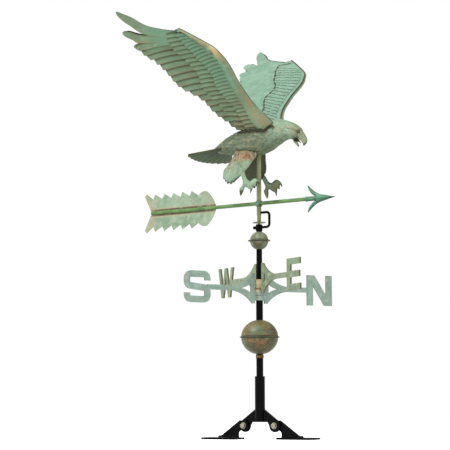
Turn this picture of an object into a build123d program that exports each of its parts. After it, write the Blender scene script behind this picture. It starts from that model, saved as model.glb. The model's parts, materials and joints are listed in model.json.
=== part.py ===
from build123d import *
import math
import os

# Roof-mounted weather vane: an eagle over an arrow turns on a steel mast, above a
# pair of compass castings, two spun globes and a black adjustable roof bracket.
#
# Millimetres. +Z is up along the mast, +X is where the arrow and the eagle point at
# rest, +Y is the eagle's left. The origin is on the mast axis, level with the
# underside of the two foot plates.

# ---------------------------------------------------------------- driving dimensions

PLATE = 5.5                   # foot, gusset and web steel
BOLT_X = 50.0                 # pivot bolts, each side of the mast
BOLT_Z = 37.0
BOLT_R = 4.0
LOBE_R = 17.5                 # round ends of the gusset
FOOT_IN, FOOT_OUT = 49.0, 160.0
FOOT_DEPTH = 57.0
SIDE_GAP = 0.3                # between a foot's web and the gusset

SOCKET_R, SOCKET_BORE = 13.8, 9.7
SOCKET_Z = (50.0, 172.0)
LOWER_MAST_R, LOWER_MAST_BORE = 9.5, 8.1
LOWER_MAST_Z = (84.0, 441.0)
UPPER_MAST_R = 8.0
UPPER_MAST_Z = (400.0, 591.0)
PIN_R = 3.9
PIN_TOP = 742.0

LARGE_GLOBE = (279.2, 51.0, 47.5, 54.5)      # centre height, radius, half height, rim radius
SMALL_GLOBE = (545.9, 25.5, 25.6, 30.5)
GLOBE_WALL = 0.9
RIM_T = 1.4
STOP_COLLAR_Z = (221.0, 230.0)

NORTH_DEG = 65.3              # compass directions at rest, from +X
EAST_DEG = NORTH_DEG - 90.0
ARM_Z_NS, RING_NS = 413.0, (380.0, 411.0)
ARM_Z_EW, RING_EW = 441.0, (412.0, 438.0)
CASTING_T = 5.0
RING_R, RING_BORE = 12.0, 9.6
LETTER_R = 193.0              # mast axis to a letter's middle
LETTER_H = 85.0
STROKE_V, STROKE_H = 19.0, 16.5
ARM_HALF = 7.0

HOOK_COLLAR_Z = (573.2, 590.0)
HOOK_COLLAR_R = 9.4
HOOK_ROD_R = 3.5
HOOK_X = 35.0
HOOK_Z = (582.6, 623.6)

ARROW_Z = 649.5
SHAFT_R, SHAFT_BORE = 5.3, 4.3
ARROW_TIP = 252.0
ARROW_TAIL = -389.0
SPINDLE_R, SPINDLE_BORE = 6.4, 5.65
SLEEVE_R, SLEEVE_BORE = 5.6, 3.97
SPINDLE_Z = (618.0, 836.0)
SLEEVE_Z = (597.0, 690.0)

WING_BASE_Z = 866.0           # where the two wing planes would meet over the back
WING_RISE = 41.8              # degrees that each wing is raised
SHEET = 1.5
CAMBER_R = 1500.0
COPPER_WALL = 1.3


def save(node, *solids):
    """Write one node's solids to its STEP file."""
    shape = solids[0] if len(solids) == 1 else Compound(children=list(solids))
    shape.label = node
    export_step(shape, f"parts/{node}.step")


STANDING = (Align.CENTER, Align.CENTER, Align.MIN)


def tube(radius, bore, low, high):
    """A round tube, or a bar where bore is 0, on the Z axis."""
    outer = Pos(0, 0, low) * Cylinder(radius, high - low, align=STANDING)
    if not bore:
        return outer
    return outer - Pos(0, 0, low - 1) * Cylinder(bore, high - low + 2, align=STANDING)


def bar(start, end, radius, end_radius=None):
    """A straight round bar, or a taper, from one point to another."""
    path = Vector(*end) - Vector(*start)
    where = Plane(origin=start, z_dir=path)
    if end_radius is None or end_radius == radius:
        body = Cylinder(radius, path.length, align=STANDING)
    else:
        body = Cone(radius, end_radius, path.length, align=STANDING)
    return where * body


def polygon(points):
    """A face in the local XY plane through the points."""
    return make_face(Polyline(*points, close=True))


def mirrored(solid):
    """The same solid on the other side of the XZ plane."""
    return mirror(solid, about=Plane.XZ)


# ---------------------------------------------------------------------- roof bracket

side_view = Plane.XZ          # local x is X, local y is Z, the normal is -Y


def plate_xz(face, y_low, y_high):
    """Extrude a face drawn in X and Z from one Y to another."""
    return Pos(0, y_high, 0) * (side_view * extrude(face, amount=y_high - y_low))


def gusset():
    """The plate that crosses the socket tube, with a lobe round each pivot bolt."""
    top_x, top_z, arch_x, arch_z = 12.0, 84.0, 27.0, 47.0
    lobes = [Pos(side * BOLT_X, BOLT_Z) * Circle(LOBE_R) for side in (-1, 1)]
    reach = BOLT_X + 12.0
    body = polygon([(-top_x, top_z), (top_x, top_z), (reach, BOLT_Z + 12.8), (BOLT_X, BOLT_Z),
                    (40.0, 22.7), (arch_x, arch_z), (-arch_x, arch_z), (-40.0, 22.7),
                    (-BOLT_X, BOLT_Z), (-reach, BOLT_Z + 12.8)])
    face = body + lobes[0] + lobes[1]
    for side in (-1, 1):
        face -= Pos(side * BOLT_X, BOLT_Z) * Circle(BOLT_R + 0.1)
    return plate_xz(face, -PLATE / 2, PLATE / 2)


def roof_foot():
    """The right foot: an upright web on the pivot bolt and a plate for two screws."""
    near = PLATE / 2 + SIDE_GAP
    boss_r, toe_x, notch_x, notch_z = 15.0, 143.0, 69.0, 15.0
    boss = Pos(BOLT_X, BOLT_Z) * Circle(boss_r)
    web = make_face([
        Line((BOLT_X + 6.0, BOLT_Z + 13.7), (BOLT_X + 14.0, BOLT_Z + 14.5)),
        Line((BOLT_X + 14.0, BOLT_Z + 14.5), (toe_x, 0.0)),
        Line((toe_x, 0.0), (notch_x, 0.0)),
        Line((notch_x, 0.0), (notch_x, notch_z)),
        ThreePointArc((notch_x, notch_z), (64.5, 22.5), (BOLT_X + 6.0, BOLT_Z - 13.7)),
        Line((BOLT_X + 6.0, BOLT_Z - 13.7), (BOLT_X + 6.0, BOLT_Z + 13.7)),
    ])
    web = web + boss - Pos(BOLT_X, BOLT_Z) * Circle(BOLT_R + 0.06)
    upright = plate_xz(web, near, near + PLATE)
    middle_x, middle_y = (FOOT_IN + FOOT_OUT) / 2, near + FOOT_DEPTH / 2
    flat = Rectangle(FOOT_OUT - FOOT_IN, FOOT_DEPTH)
    flat = fillet(flat.vertices(), 4.0)
    plate = extrude(Pos(middle_x, middle_y) * flat, amount=PLATE)
    bend = Pos(0, near + PLATE, PLATE) * fillet_strip(notch_x, toe_x - 8.0, 5.0)
    foot = upright + plate + bend
    for x in FOOT_HOLE_X:
        foot -= Pos(x, FOOT_HOLE_Y, 0) * Cylinder(FOOT_HOLE_R, 40)
    return foot


def fillet_strip(x_low, x_high, radius):
    """The inside of the bend between a web and its plate, along X."""
    corner = make_face([Line((0, 0), (radius, 0)),
                        Line((0, radius), (0, 0)),
                        RadiusArc((radius, 0), (0, radius), -radius)])
    strip = extrude(corner, amount=x_high - x_low)
    return Pos(x_low, 0, 0) * (Plane.YZ * strip)


FOOT_HOLE_X = (85.0, 143.0)
FOOT_HOLE_Y = 37.0
FOOT_HOLE_R = 4.5


def hexagon_head(across_flats, height):
    """A hexagon prism on the local XY plane."""
    return extrude(RegularPolygon(across_flats / math.sqrt(3), 6), amount=height)


def pivot_bolts():
    """Two bolts along Y through gusset and web. The heads are on the gusset's or web's front."""
    bolts = []
    for side in (-1, 1):
        stack_near = -(PLATE * 1.5 + SIDE_GAP) if side < 0 else -PLATE / 2
        stack_far = PLATE / 2 if side < 0 else PLATE * 1.5 + SIDE_GAP
        front, back = stack_near - 1.8, stack_far + 1.8
        bolt = bar((side * BOLT_X, front, BOLT_Z), (side * BOLT_X, back + 10.0, BOLT_Z), BOLT_R)
        head = Plane(origin=(side * BOLT_X, front, BOLT_Z), z_dir=(0, -1, 0)) * hexagon_head(13.0, 5.5)
        bolts.append(bolt + head)
    return bolts


def bolt_side_rings(radius, bore, gap, height, hexagonal):
    """A washer or a nut on each bolt, gap away from the clamped plates."""
    rings = []
    for side in (-1, 1):
        stack_near = -(PLATE * 1.5 + SIDE_GAP) if side < 0 else -PLATE / 2
        stack_far = PLATE / 2 if side < 0 else PLATE * 1.5 + SIDE_GAP
        faces = [(stack_far + gap, 1)] if hexagonal else [(stack_near, -1), (stack_far, 1)]
        for y, way in faces:
            where = Plane(origin=(side * BOLT_X, y, BOLT_Z), z_dir=(0, way, 0))
            round_head = extrude(Circle(radius), amount=height)
            outer = hexagon_head(radius * 2, height) if hexagonal else round_head
            rings.append(where * (outer - extrude(Circle(bore), amount=height)))
    return rings


def build_bracket():
    socket = tube(SOCKET_R, SOCKET_BORE, *SOCKET_Z)
    plate = gusset()
    slot = Pos(0, 0, 60.0) * Box(2 * SOCKET_R + 2, PLATE, 48.0)
    seat = Pos(0, 0, 88.0) * Box(2 * SOCKET_R + 2, 2 * SOCKET_R + 2, 8.0)
    plate -= seat & tube(SOCKET_BORE, 0, 84.0, 92.0)
    screw_z = (104.0, 150.0)
    drill = [bar((0, 0, z), (0, -30.0, z), 3.0) for z in screw_z]
    socket -= slot & tube(SOCKET_R + 2, 0, 40.0, 84.0)
    for hole in drill:
        socket -= hole
    save("socket_tube", socket)
    save("gusset_plate", plate)
    screws = []
    for z in screw_z:
        screws.append(bar((0, -LOWER_MAST_R, z), (0, -SOCKET_R - 1.2, z), 2.95))
    save("socket_set_screws", *screws)
    right = roof_foot()
    save("right_roof_foot", right)
    save("left_roof_foot", Rot(0, 0, 180) * right)
    save("foot_bolts", *pivot_bolts())
    save("foot_washers", *bolt_side_rings(9.0, BOLT_R + 0.1, 0.0, 1.8, False))
    save("foot_nuts", *bolt_side_rings(6.5, BOLT_R, 1.8, 6.5, True))


# ---------------------------------------------------------------------- mast and globes

def globe_half(globe, upper, bore_r):
    """A spun half shell with the flat rim that is seamed to the other half."""
    centre_z, radius, half_height, rim_r = globe
    way = 1 if upper else -1

    def height(r, across, up):
        return up * math.sqrt(1 - (r / across) ** 2)

    outer_h = height(bore_r, radius, half_height)
    inner_r, inner_half = radius - GLOBE_WALL, half_height - GLOBE_WALL
    inner_h = height(bore_r, inner_r, inner_half)
    mid_out = (radius * 0.72, height(radius * 0.72, radius, half_height))
    mid_in = (inner_r * 0.72, height(inner_r * 0.72, inner_r, inner_half))
    wide_r = radius * 0.995
    wide_h = height(wide_r, radius, half_height)
    profile = [
        Spline((bore_r, outer_h), mid_out, (radius * 0.94, height(radius * 0.94, radius, half_height)),
               (wide_r, max(wide_h, RIM_T))),
        Line((wide_r, max(wide_h, RIM_T)), (wide_r, RIM_T)) if wide_h > RIM_T + 0.01 else None,
        Line((wide_r, RIM_T), (rim_r, RIM_T)),
        Line((rim_r, RIM_T), (rim_r, 0.0)),
        Line((rim_r, 0.0), (inner_r, 0.0)),
        Spline((inner_r, 0.0), (inner_r * 0.94, height(inner_r * 0.94, inner_r, inner_half)),
               mid_in, (bore_r, inner_h)),
        Line((bore_r, inner_h), (bore_r, outer_h)),
    ]
    face = Plane.XZ * make_face([edge for edge in profile if edge is not None])
    half = revolve(face, axis=Axis.Z)
    if way < 0:
        half = mirror(half, about=Plane.XY)
    return Pos(0, 0, centre_z) * half


def build_mast():
    save("lower_mast_tube", tube(LOWER_MAST_R, LOWER_MAST_BORE, *LOWER_MAST_Z))
    pin_seat = tube(PIN_R, 0, 560.0, UPPER_MAST_Z[1] + 1)
    save("upper_mast_rod", tube(UPPER_MAST_R, 0, *UPPER_MAST_Z) - pin_seat)
    pin = tube(PIN_R, 0, 560.0, PIN_TOP)
    ball_r = 3.2
    ball_z = PIN_TOP + 1.4
    save("pivot_pin", pin - Pos(0, 0, ball_z) * Sphere(ball_r))
    save("thrust_ball", Pos(0, 0, ball_z) * Sphere(ball_r))
    save("globe_stop_collar", tube(11.0, LOWER_MAST_R + 0.05, *STOP_COLLAR_Z)
         - bar((0, 0, 225.5), (0, -20, 225.5), 2.0))
    save("stop_collar_screw", bar((0, -LOWER_MAST_R, 225.5), (0, -11.0, 225.5), 1.95))
    for size, globe, bore in (("large", LARGE_GLOBE, LOWER_MAST_R), ("small", SMALL_GLOBE, UPPER_MAST_R)):
        save(f"{size}_globe_upper", globe_half(globe, True, bore + 0.1))
        save(f"{size}_globe_lower", globe_half(globe, False, bore + 0.1))


def build_hold_down():
    """The collar and the bent rod that keeps the spindle's flange from lifting off."""
    screw_z = HOOK_Z[0]
    collar = tube(HOOK_COLLAR_R, UPPER_MAST_R + 0.05, *HOOK_COLLAR_Z)
    collar -= bar((0, 0, screw_z), (-20, 0, screw_z), 2.5)
    save("hook_collar", collar)
    screw = bar((-UPPER_MAST_R - 0.1, 0, screw_z), (-13.5, 0, screw_z), 2.45)
    screw += bar((-13.5, 0, screw_z), (-17.5, 0, screw_z), 4.6)
    save("hook_collar_screw", screw)
    start_x, end_x = HOOK_COLLAR_R, SPINDLE_R + 1.6
    path = FilletPolyline((start_x, HOOK_Z[0]), (HOOK_X, HOOK_Z[0]), (HOOK_X, HOOK_Z[1]),
                          (end_x, HOOK_Z[1]), radius=9.0)
    path = Plane.XZ * path
    hook = sweep(Plane(origin=path @ 0, z_dir=path % 0) * Circle(HOOK_ROD_R), path=path)
    save("hold_down_hook", hook)


# ---------------------------------------------------------------------- compass castings

def frame_face():
    """The concave four-pointed frame round the mast, its windows and its two arms."""
    inner, tip_r, tip_h = 15.0, 24.0, 41.5
    curve_mid, curve_end = (46.0, 21.5), (88.0, ARM_HALF)
    arm_end = LETTER_R - 30.0
    half = make_face([
        Line((inner, -tip_h), (inner, tip_h)),
        Line((inner, tip_h), (tip_r, tip_h)),
        ThreePointArc((tip_r, tip_h), curve_mid, curve_end),
        Line(curve_end, (arm_end, ARM_HALF)),
        Line((arm_end, ARM_HALF), (arm_end, -ARM_HALF)),
        Line((arm_end, -ARM_HALF), (curve_end[0], -curve_end[1])),
        ThreePointArc((curve_end[0], -curve_end[1]), (curve_mid[0], -curve_mid[1]), (tip_r, -tip_h)),
        Line((tip_r, -tip_h), (inner, -tip_h)),
    ])
    window = make_face([
        Line((28.0, -13.5), (28.0, 13.5)),
        ThreePointArc((28.0, 13.5), (40.5, 5.4), (57.0, 0.0)),
        ThreePointArc((57.0, 0.0), (40.5, -5.4), (28.0, -13.5)),
    ])
    half = half - window
    return half + mirror(half, about=Plane.YZ)


def letter_n(width=81.0):
    w, h = width / 2, LETTER_H / 2
    lean = 24.0
    stems = Pos(STROKE_V / 2 - w, 0) * Rectangle(STROKE_V, LETTER_H)
    stems += Pos(w - STROKE_V / 2, 0) * Rectangle(STROKE_V, LETTER_H)
    return stems + polygon([(-w, h), (lean - w, h), (w, -h), (w - lean, -h)])


def letter_e(width=68.0, inner=39.5):
    w, h = inner, LETTER_H / 2
    face = Pos(STROKE_V / 2 - w, 0) * Rectangle(STROKE_V, LETTER_H)
    for level, reach in ((h - STROKE_H / 2, width), (0.0, width - 3.0), (STROKE_H / 2 - h, width + 2.0)):
        face += Pos(reach / 2 - w, level) * Rectangle(reach, STROKE_H)
    return face


def letter_w(width=88.0):
    w, h, stroke = width / 2, LETTER_H / 2, 12.5
    low = w * 0.46
    face = None
    for top_x, low_x in ((-w + stroke / 2, -low), (0.0, -low), (0.0, low), (w - stroke / 2, low)):
        leg = polygon([(top_x - stroke / 2, h), (top_x + stroke / 2, h),
                       (low_x + stroke / 2, -h), (low_x - stroke / 2, -h)])
        face = leg if face is None else face + leg
    return face


def letter_s(width=81.0):
    w, h = width / 2 - STROKE_V / 2, LETTER_H / 2 - STROKE_H / 2
    line = FilletPolyline((w, 17.0), (w, h), (-w, h), (-w, 3.5), (w, -3.5), (w, -h), (-w, -h), (-w, -17.0),
                          radius=12.0)
    return trace(line, (STROKE_V + STROKE_H) / 2)


def casting(direction_deg, arm_z, ring, letters):
    """One compass casting: a flat plate of frame, arms and letters on a hub ring."""
    angle = math.radians(direction_deg)
    toward = (math.cos(angle), math.sin(angle), 0)
    where = Plane(origin=(0, 0, arm_z), x_dir=toward, z_dir=(toward[1], -toward[0], 0))
    near, far = letters
    face = frame_face()
    face += Pos(-LETTER_R, 0) * near
    face += Pos(LETTER_R, 0) * far
    hub_low, hub_high = ring[0] - arm_z, ring[1] - arm_z
    face += Pos(0, (hub_low + hub_high) / 2) * Rectangle(32.0, hub_high - hub_low)
    plate = where * extrude(face, amount=CASTING_T / 2, both=True)
    body = plate + tube(RING_R, 0, *ring)
    body -= tube(RING_BORE, 0, ring[0] - 1, ring[1] + 1)
    middle_z = (ring[0] + ring[1]) / 2
    groove = tube(RING_R + 1, RING_R - 0.9, middle_z - 3.0, middle_z - 1.2)
    body -= groove & (tube(RING_R, 0, *ring))
    screw_angle = math.radians(SCREW_DEG)
    out = (math.cos(screw_angle), math.sin(screw_angle))
    screw_z = middle_z + 4.0
    body -= bar((0, 0, screw_z), (20 * out[0], 20 * out[1], screw_z), 2.5)
    screw = bar((LOWER_MAST_R * out[0], LOWER_MAST_R * out[1], screw_z),
                ((RING_R - 0.2) * out[0], (RING_R - 0.2) * out[1], screw_z), 2.45)
    return body, screw


SCREW_DEG = NORTH_DEG + 45.0


def build_directionals():
    north_south, low_screw = casting(NORTH_DEG, ARM_Z_NS, RING_NS, (letter_s(), letter_n()))
    east_west, high_screw = casting(EAST_DEG, ARM_Z_EW, RING_EW, (letter_w(), letter_e()))
    save("north_south_casting", north_south)
    save("east_west_casting", east_west)
    save("casting_set_screws", low_screw, high_screw)


# ---------------------------------------------------------------------- spindle and arrow

def build_spindle():
    spindle = tube(SPINDLE_R, SPINDLE_BORE, *SPINDLE_Z)
    save("spindle_tube", spindle)
    save("spindle_sleeve", tube(SLEEVE_R, SLEEVE_BORE, *SLEEVE_Z))
    save("keeper_washer", tube(18.0, SLEEVE_BORE, SLEEVE_Z[0] - 1.8, SLEEVE_Z[0]))
    cup_z = PIN_TOP + 1.4
    cup = tube(SPINDLE_BORE - 0.05, 0, cup_z, cup_z + 16.0)
    save("bearing_cup", cup - Pos(0, 0, cup_z) * Sphere(3.25))


def build_arrow():
    along = Plane.YZ                       # local z is X

    def shaft(x_low, x_high, radius=SHAFT_R, bore=SHAFT_BORE):
        ring = Circle(radius) - Circle(bore)
        return Pos(x_low, 0, ARROW_Z) * (along * extrude(ring, amount=x_high - x_low))

    collar_x, collar_z = 9.0, 8.0
    collar = Pos(-collar_x, 0, ARROW_Z) * (along * extrude(Circle(6.9), amount=2 * collar_x))
    collar += tube(8.0, 0, ARROW_Z - collar_z, ARROW_Z + collar_z)
    collar -= tube(SPINDLE_R, 0, ARROW_Z - 20, ARROW_Z + 20)
    for side in (-1, 1):
        start = SPINDLE_R + 0.6 if side > 0 else -collar_x - 2
        reach = collar_x + 2 - SPINDLE_R - 0.6
        hole = Pos(start, 0, ARROW_Z) * (along * extrude(Circle(SHAFT_R), amount=reach))
        collar -= hole
    save("arrow_collar", collar)
    save("arrow_shaft_front", shaft(SPINDLE_R + 0.6, 196.0))

    end_room = Pos(ARROW_TAIL, 0, ARROW_Z) * Box(10.0, 4 * FIN_T, 2 * SHAFT_R + 0.2)
    fin = arrow_fin() - end_room
    rear = shaft(ARROW_TAIL + 5.0, -SPINDLE_R - 0.6)
    save("arrow_shaft_rear", rear - Pos(-300.0, 0, ARROW_Z) * Box(2 * 152.0, FIN_T, 2 * SHAFT_R + 2))
    save("arrow_fin", fin)
    plug = Pos(ARROW_TAIL + 5.0, 0, ARROW_Z) * Sphere(SHAFT_R)
    plug &= Pos(ARROW_TAIL - 5.0, 0, ARROW_Z) * Box(20.0, 30.0, 30.0)
    save("arrow_tail_plug", plug)
    save("arrow_head", arrow_head())
    row_z = ARROW_Z + 9.0
    rivets = []
    for x in (-372.0, -290.0, -225.0, -168.0):
        for side in (-1, 1):
            foot = side * FIN_T / 2
            rivets.append(bar((x, foot, row_z), (x, foot + side * 1.2, row_z), 2.0))
    save("fin_rivets", *rivets)


FIN_T = 1.6
FIN_FRONT = -149.0
FIN_TEETH = (-238.0, -271.5, -305.0, -339.0, -373.0)
FIN_REAR = -412.0


def arrow_fin():
    """The feathered fin: a round nose, five barbs a side and a swallow-tailed end."""
    crest, notch_h, tip_h, rear_h = 49.5, 39.0, 54.0, 57.0
    steep, half_stem = 7.5, 4.2
    lines = [ThreePointArc((FIN_FRONT, 0.0), (-163.0, 29.0), (-184.0, crest)),
             ThreePointArc((-184.0, crest), (-200.0, crest - 1.0), (-213.0, notch_h))]
    last = (-213.0, notch_h)
    for x in FIN_TEETH:
        lines.append(Line(last, (x, tip_h)))
        last = (x - steep, notch_h + 1.0)
        lines.append(Line((x, tip_h), last))
    lines.append(Line(last, (FIN_REAR + 7.0, rear_h)))
    lines.append(Line((FIN_REAR + 7.0, rear_h), (FIN_REAR, rear_h - 7.0)))
    lines.append(Line((FIN_REAR, rear_h - 7.0), (ARROW_TAIL + 1.0, half_stem)))
    lines.append(Line((ARROW_TAIL + 1.0, half_stem), (ARROW_TAIL + 1.0, 0.0)))
    lines.append(Line((ARROW_TAIL + 1.0, 0.0), (FIN_FRONT, 0.0)))
    upper = make_face(lines)
    face = upper + mirror(upper, about=Plane.XZ)
    return Pos(0, 0, ARROW_Z) * plate_xz(face, -FIN_T / 2, FIN_T / 2)


def arrow_head():
    """A cast head: two curved barbs that run to a point, on a socket over the shaft."""
    thick, nose_r = 7.0, 0.8
    upper = make_face([
        Line((ARROW_TIP, 0.0), (ARROW_TIP, nose_r)),
        Spline((ARROW_TIP, nose_r), (221.0, 7.0), (202.0, 11.3), (187.0, 18.8), (175.6, 27.5), (166.0, 36.0)),
        Line((166.0, 36.0), (163.5, 34.5)),
        Spline((163.5, 34.5), (168.3, 24.5), (174.0, 16.5), (182.0, 9.5), (196.0, 3.0)),
        Line((196.0, 3.0), (196.0, 0.0)),
        Line((196.0, 0.0), (ARROW_TIP, 0.0)),
    ])
    blade = upper + mirror(upper, about=Plane.XZ)
    head = plate_xz(blade, -thick / 2, thick / 2)
    head += Plane.YZ * Pos(0, 0, 158.0) * extrude(Circle(6.5), amount=42.0)
    head += bar((199.9, 0, 0), (236.0, 0, 0), 6.5, 1.5)
    head -= Plane.YZ * Pos(0, 0, 150.0) * extrude(Circle(SHAFT_R), amount=46.0)
    return Pos(0, 0, ARROW_Z) * head


# ---------------------------------------------------------------------- eagle body

# X, middle height, half height and half width of the body's cross-sections, tail to head.
BODY_SECTIONS = (
    (-139.0, 812.0, 7.0, 21.0),
    (-119.0, 816.0, 17.5, 25.0),
    (-95.0, 820.0, 26.5, 29.0),
    (-66.0, 823.0, 34.0, 32.5),
    (-30.0, 825.5, 40.5, 35.0),
    (5.0, 829.0, 45.0, 36.0),
    (38.0, 836.0, 43.5, 34.0),
    (64.0, 843.0, 38.0, 29.0),
    (86.0, 847.0, 30.5, 22.5),
    (106.0, 846.5, 24.0, 18.5),
    (122.0, 843.0, 21.0, 17.0),
    (137.0, 837.0, 17.5, 14.0),
    (148.0, 829.0, 13.0, 9.5),
)


EYE = (139.5, 11.8, 838.0)


def body_loft(inset):
    """The body as one closed shape, inset all round by the given wall."""
    faces = []
    last = len(BODY_SECTIONS) - 1
    for i, (x, middle, half_height, half_width) in enumerate(BODY_SECTIONS):
        shift = inset if i == 0 else (-inset if i == last else 0.0)
        ring = Ellipse(half_width - inset, half_height - inset)
        faces.append(Plane(origin=(x + shift, 0, middle), x_dir=(0, 1, 0), z_dir=(1, 0, 0)) * ring)
    return loft(faces)


def beak_face():
    """The hooked upper beak, drawn in X and Z."""
    return make_face([
        Spline((143.0, 843.0), (154.0, 831.0), (163.0, 816.0), (161.0, 803.5), (151.0, 796.0)),
        Spline((151.0, 796.0), (149.5, 804.0), (141.0, 812.5), (126.0, 820.5)),
        Line((126.0, 820.5), (126.0, 840.0)),
        Line((126.0, 840.0), (143.0, 843.0)),
    ])


def lower_beak():
    face = make_face([
        Spline((112.0, 828.0), (122.0, 815.0), (130.0, 803.0), (136.0, 796.0)),
        Spline((136.0, 796.0), (135.5, 805.0), (130.0, 815.0), (121.0, 824.0)),
        Line((121.0, 824.0), (112.0, 828.0)),
    ])
    tongue = make_face([
        Spline((124.0, 818.5), (134.0, 813.5), (144.0, 805.5)),
        Spline((144.0, 805.5), (133.0, 809.5), (124.0, 814.5)),
        Line((124.0, 814.5), (124.0, 818.5)),
    ])
    return plate_xz(face, -6.0, 6.0) + plate_xz(tongue, -3.0, 3.0)


def half_space(side):
    """A large box that holds everything on one side of the XZ plane."""
    size = 1600.0
    return Pos(0, side * size / 2, 800.0) * Box(size, size, size)


def build_body(outer):
    inner = body_loft(COPPER_WALL)
    beak = plate_xz(beak_face(), -6.5, 6.5)
    shell = outer - inner - tube(SPINDLE_R, 0, 700.0, SPINDLE_Z[1] + 1)
    shell += beak - inner
    save("eagle_body_left", solid_part(shell & half_space(1)))
    save("eagle_body_right", solid_part(shell & half_space(-1)))
    save("lower_beak", solid_part(lower_beak() - outer - beak))
    block = Pos(0, 0, SPINDLE_Z[1] + 4.0) * Box(26.0, 26.0, 8.0)
    save("spindle_block", block + tube(SPINDLE_R + 3.0, SPINDLE_R, SPINDLE_Z[1] - 24.0, SPINDLE_Z[1]))
    eyes = []
    for side in (-1, 1):
        eyes.append(Pos(EYE[0], side * EYE[1], EYE[2]) * Sphere(3.0))
    save("eyes", *[solid_part(eye - outer) for eye in eyes])


def solid_part(shape):
    """The largest solid of a boolean result, without slivers."""
    return max(shape.solids(), key=lambda piece: piece.volume)


# ---------------------------------------------------------------------- wings

# The wing's outline in its own plane: along X, and outward from the back.
LEADING_EDGE = ((66.0, 6.0), (58.0, 30.0), (43.0, 58.0), (32.0, 95.0), (28.0, 130.0), (26.0, 172.0),
                (28.0, 205.0), (27.0, 235.0), (20.0, 262.0), (9.0, 286.0), (-24.0, 318.0),
                (-57.0, 348.0), (-72.0, 360.0))
FIRST_PRIMARY = ((-82.0, 353.0), (-129.0, 367.0), (-172.0, 388.0), (-201.0, 417.0), (-225.0, 442.0),
                 (-237.0, 448.0), (-239.5, 438.0), (-232.0, 417.0), (-216.0, 391.0), (-192.0, 361.0))
SECOND_PRIMARY = ((-192.0, 361.0), (-213.0, 369.0), (-234.0, 378.0), (-250.0, 383.0), (-256.5, 376.0),
                  (-250.0, 361.0), (-221.0, 335.0))
THIRD_PRIMARY = ((-221.0, 335.0), (-236.0, 335.0), (-247.0, 329.0), (-244.0, 319.0), (-230.0, 309.0))
TRAILING_NOTCHES = ((-230.0, 309.0), (-224.0, 292.0), (-207.0, 275.0), (-198.0, 255.0), (-189.0, 234.0),
                 (-184.0, 211.0), (-182.0, 190.0), (-174.0, 170.0), (-156.0, 152.0), (-137.0, 133.0),
                 (-122.0, 113.0), (-118.0, 92.0), (-112.0, 70.0), (-101.0, 50.0), (-86.0, 32.0),
                 (-76.0, 10.0))
SCALLOP_BULGE = 0.24          # an arc's height as a share of its chord
COVER_SEAM = ((-104.0, 338.0), (-103.0, 312.0), (-88.0, 276.0), (-78.0, 250.0), (-58.0, 220.0),
              (-54.0, 196.0), (-59.0, 172.0), (-60.0, 154.0), (-50.0, 128.0), (-34.0, 92.0), (-30.0, 30.0))


def scallops(points, bulge):
    """Arcs from point to point, each bowed out to the right of its direction."""
    arcs = []
    for (x0, y0), (x1, y1) in zip(points, points[1:]):
        middle = ((x0 + x1) / 2 + bulge * (y1 - y0), (y0 + y1) / 2 - bulge * (x1 - x0))
        arcs.append(ThreePointArc((x0, y0), middle, (x1, y1)))
    return arcs


def wing_frame(rib):
    """Place a rib of the wing: X forward, Y out along the wing, Z to its upper face."""
    rise = math.radians(WING_RISE)
    where = Plane(origin=(0, 0, WING_BASE_Z), x_dir=(1, 0, 0),
                  z_dir=(0, -math.sin(rise), math.cos(rise)))
    return where * rib


def cambered_slab(bottom, top):
    """A curved sheet between two levels over the wing's under face, arched along X."""
    crown_x, reach, span = -150.0, 235.0, 520.0

    def arc(level):
        sag = reach * reach / (2 * CAMBER_R)
        ends = [(crown_x + side * reach, level - sag) for side in (-1, 1)]
        return ThreePointArc(ends[0], (crown_x, level), ends[1])

    low, high = arc(bottom), arc(top)
    profile = make_face([low, high, Line(low @ 0, high @ 0), Line(low @ 1, high @ 1)])
    return Plane.XZ * Pos(0, 0, -span + 20.0) * extrude(profile, amount=span)


def build_wings(outer):
    root = (-76.0, -8.0)
    edges = [Spline(*LEADING_EDGE)]
    edges.append(Line(LEADING_EDGE[-1], FIRST_PRIMARY[0]))
    edges += [Spline(*feather) for feather in (FIRST_PRIMARY, SECOND_PRIMARY, THIRD_PRIMARY)]
    edges += scallops(TRAILING_NOTCHES, SCALLOP_BULGE)
    edges.append(Polyline(TRAILING_NOTCHES[-1], root, (66.0, -8.0), LEADING_EDGE[0]))
    outline = make_face(edges)
    tall = Pos(0, 0, -60.0) * extrude(outline, amount=120.0)
    sheet = tall & cambered_slab(0.0, SHEET)

    cover_edges = [Spline(*LEADING_EDGE), Spline(LEADING_EDGE[-1], *COVER_SEAM),
                   Polyline(COVER_SEAM[-1], (-30.0, -8.0), (66.0, -8.0), LEADING_EDGE[0])]
    cover = Pos(0, 0, -60.0) * extrude(make_face(cover_edges), amount=120.0)
    cover = cover & cambered_slab(SHEET, SHEET + 1.6)

    spar_stations = ((52.0, 30.0, -6.5, 9.0), (22.0, 100.0, -5.0, 8.0), (14.0, 200.0, -5.0, 7.0),
                     (0.0, 270.0, -4.0, 5.0))
    spar = None
    for (x0, y0, z0, r0), (x1, y1, z1, r1) in zip(spar_stations, spar_stations[1:]):
        end = (x1, y1, z1 - r1 / 2)
        piece = bar((x0, y0, z0 - r0 / 2), end, r0, r1) + Pos(*end) * Sphere(r1)
        spar = piece if spar is None else spar + piece
    keep_left = Pos(0, 0.15, 0) * half_space(1)
    left_sheet = solid_part((wing_frame(sheet) & keep_left) - outer)
    left_cover = solid_part((wing_frame(cover) & keep_left) - outer)
    left_spar = solid_part((wing_frame(spar - cambered_slab(0.0, 60.0)) & keep_left) - outer)
    for side, turn in (("left", lambda s: s), ("right", mirrored)):
        save(f"{side}_wing", turn(left_sheet))
        save(f"{side}_wing_cover", turn(left_cover))
        save(f"{side}_wing_spar", turn(left_spar))


# ---------------------------------------------------------------------- tail and legs

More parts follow.
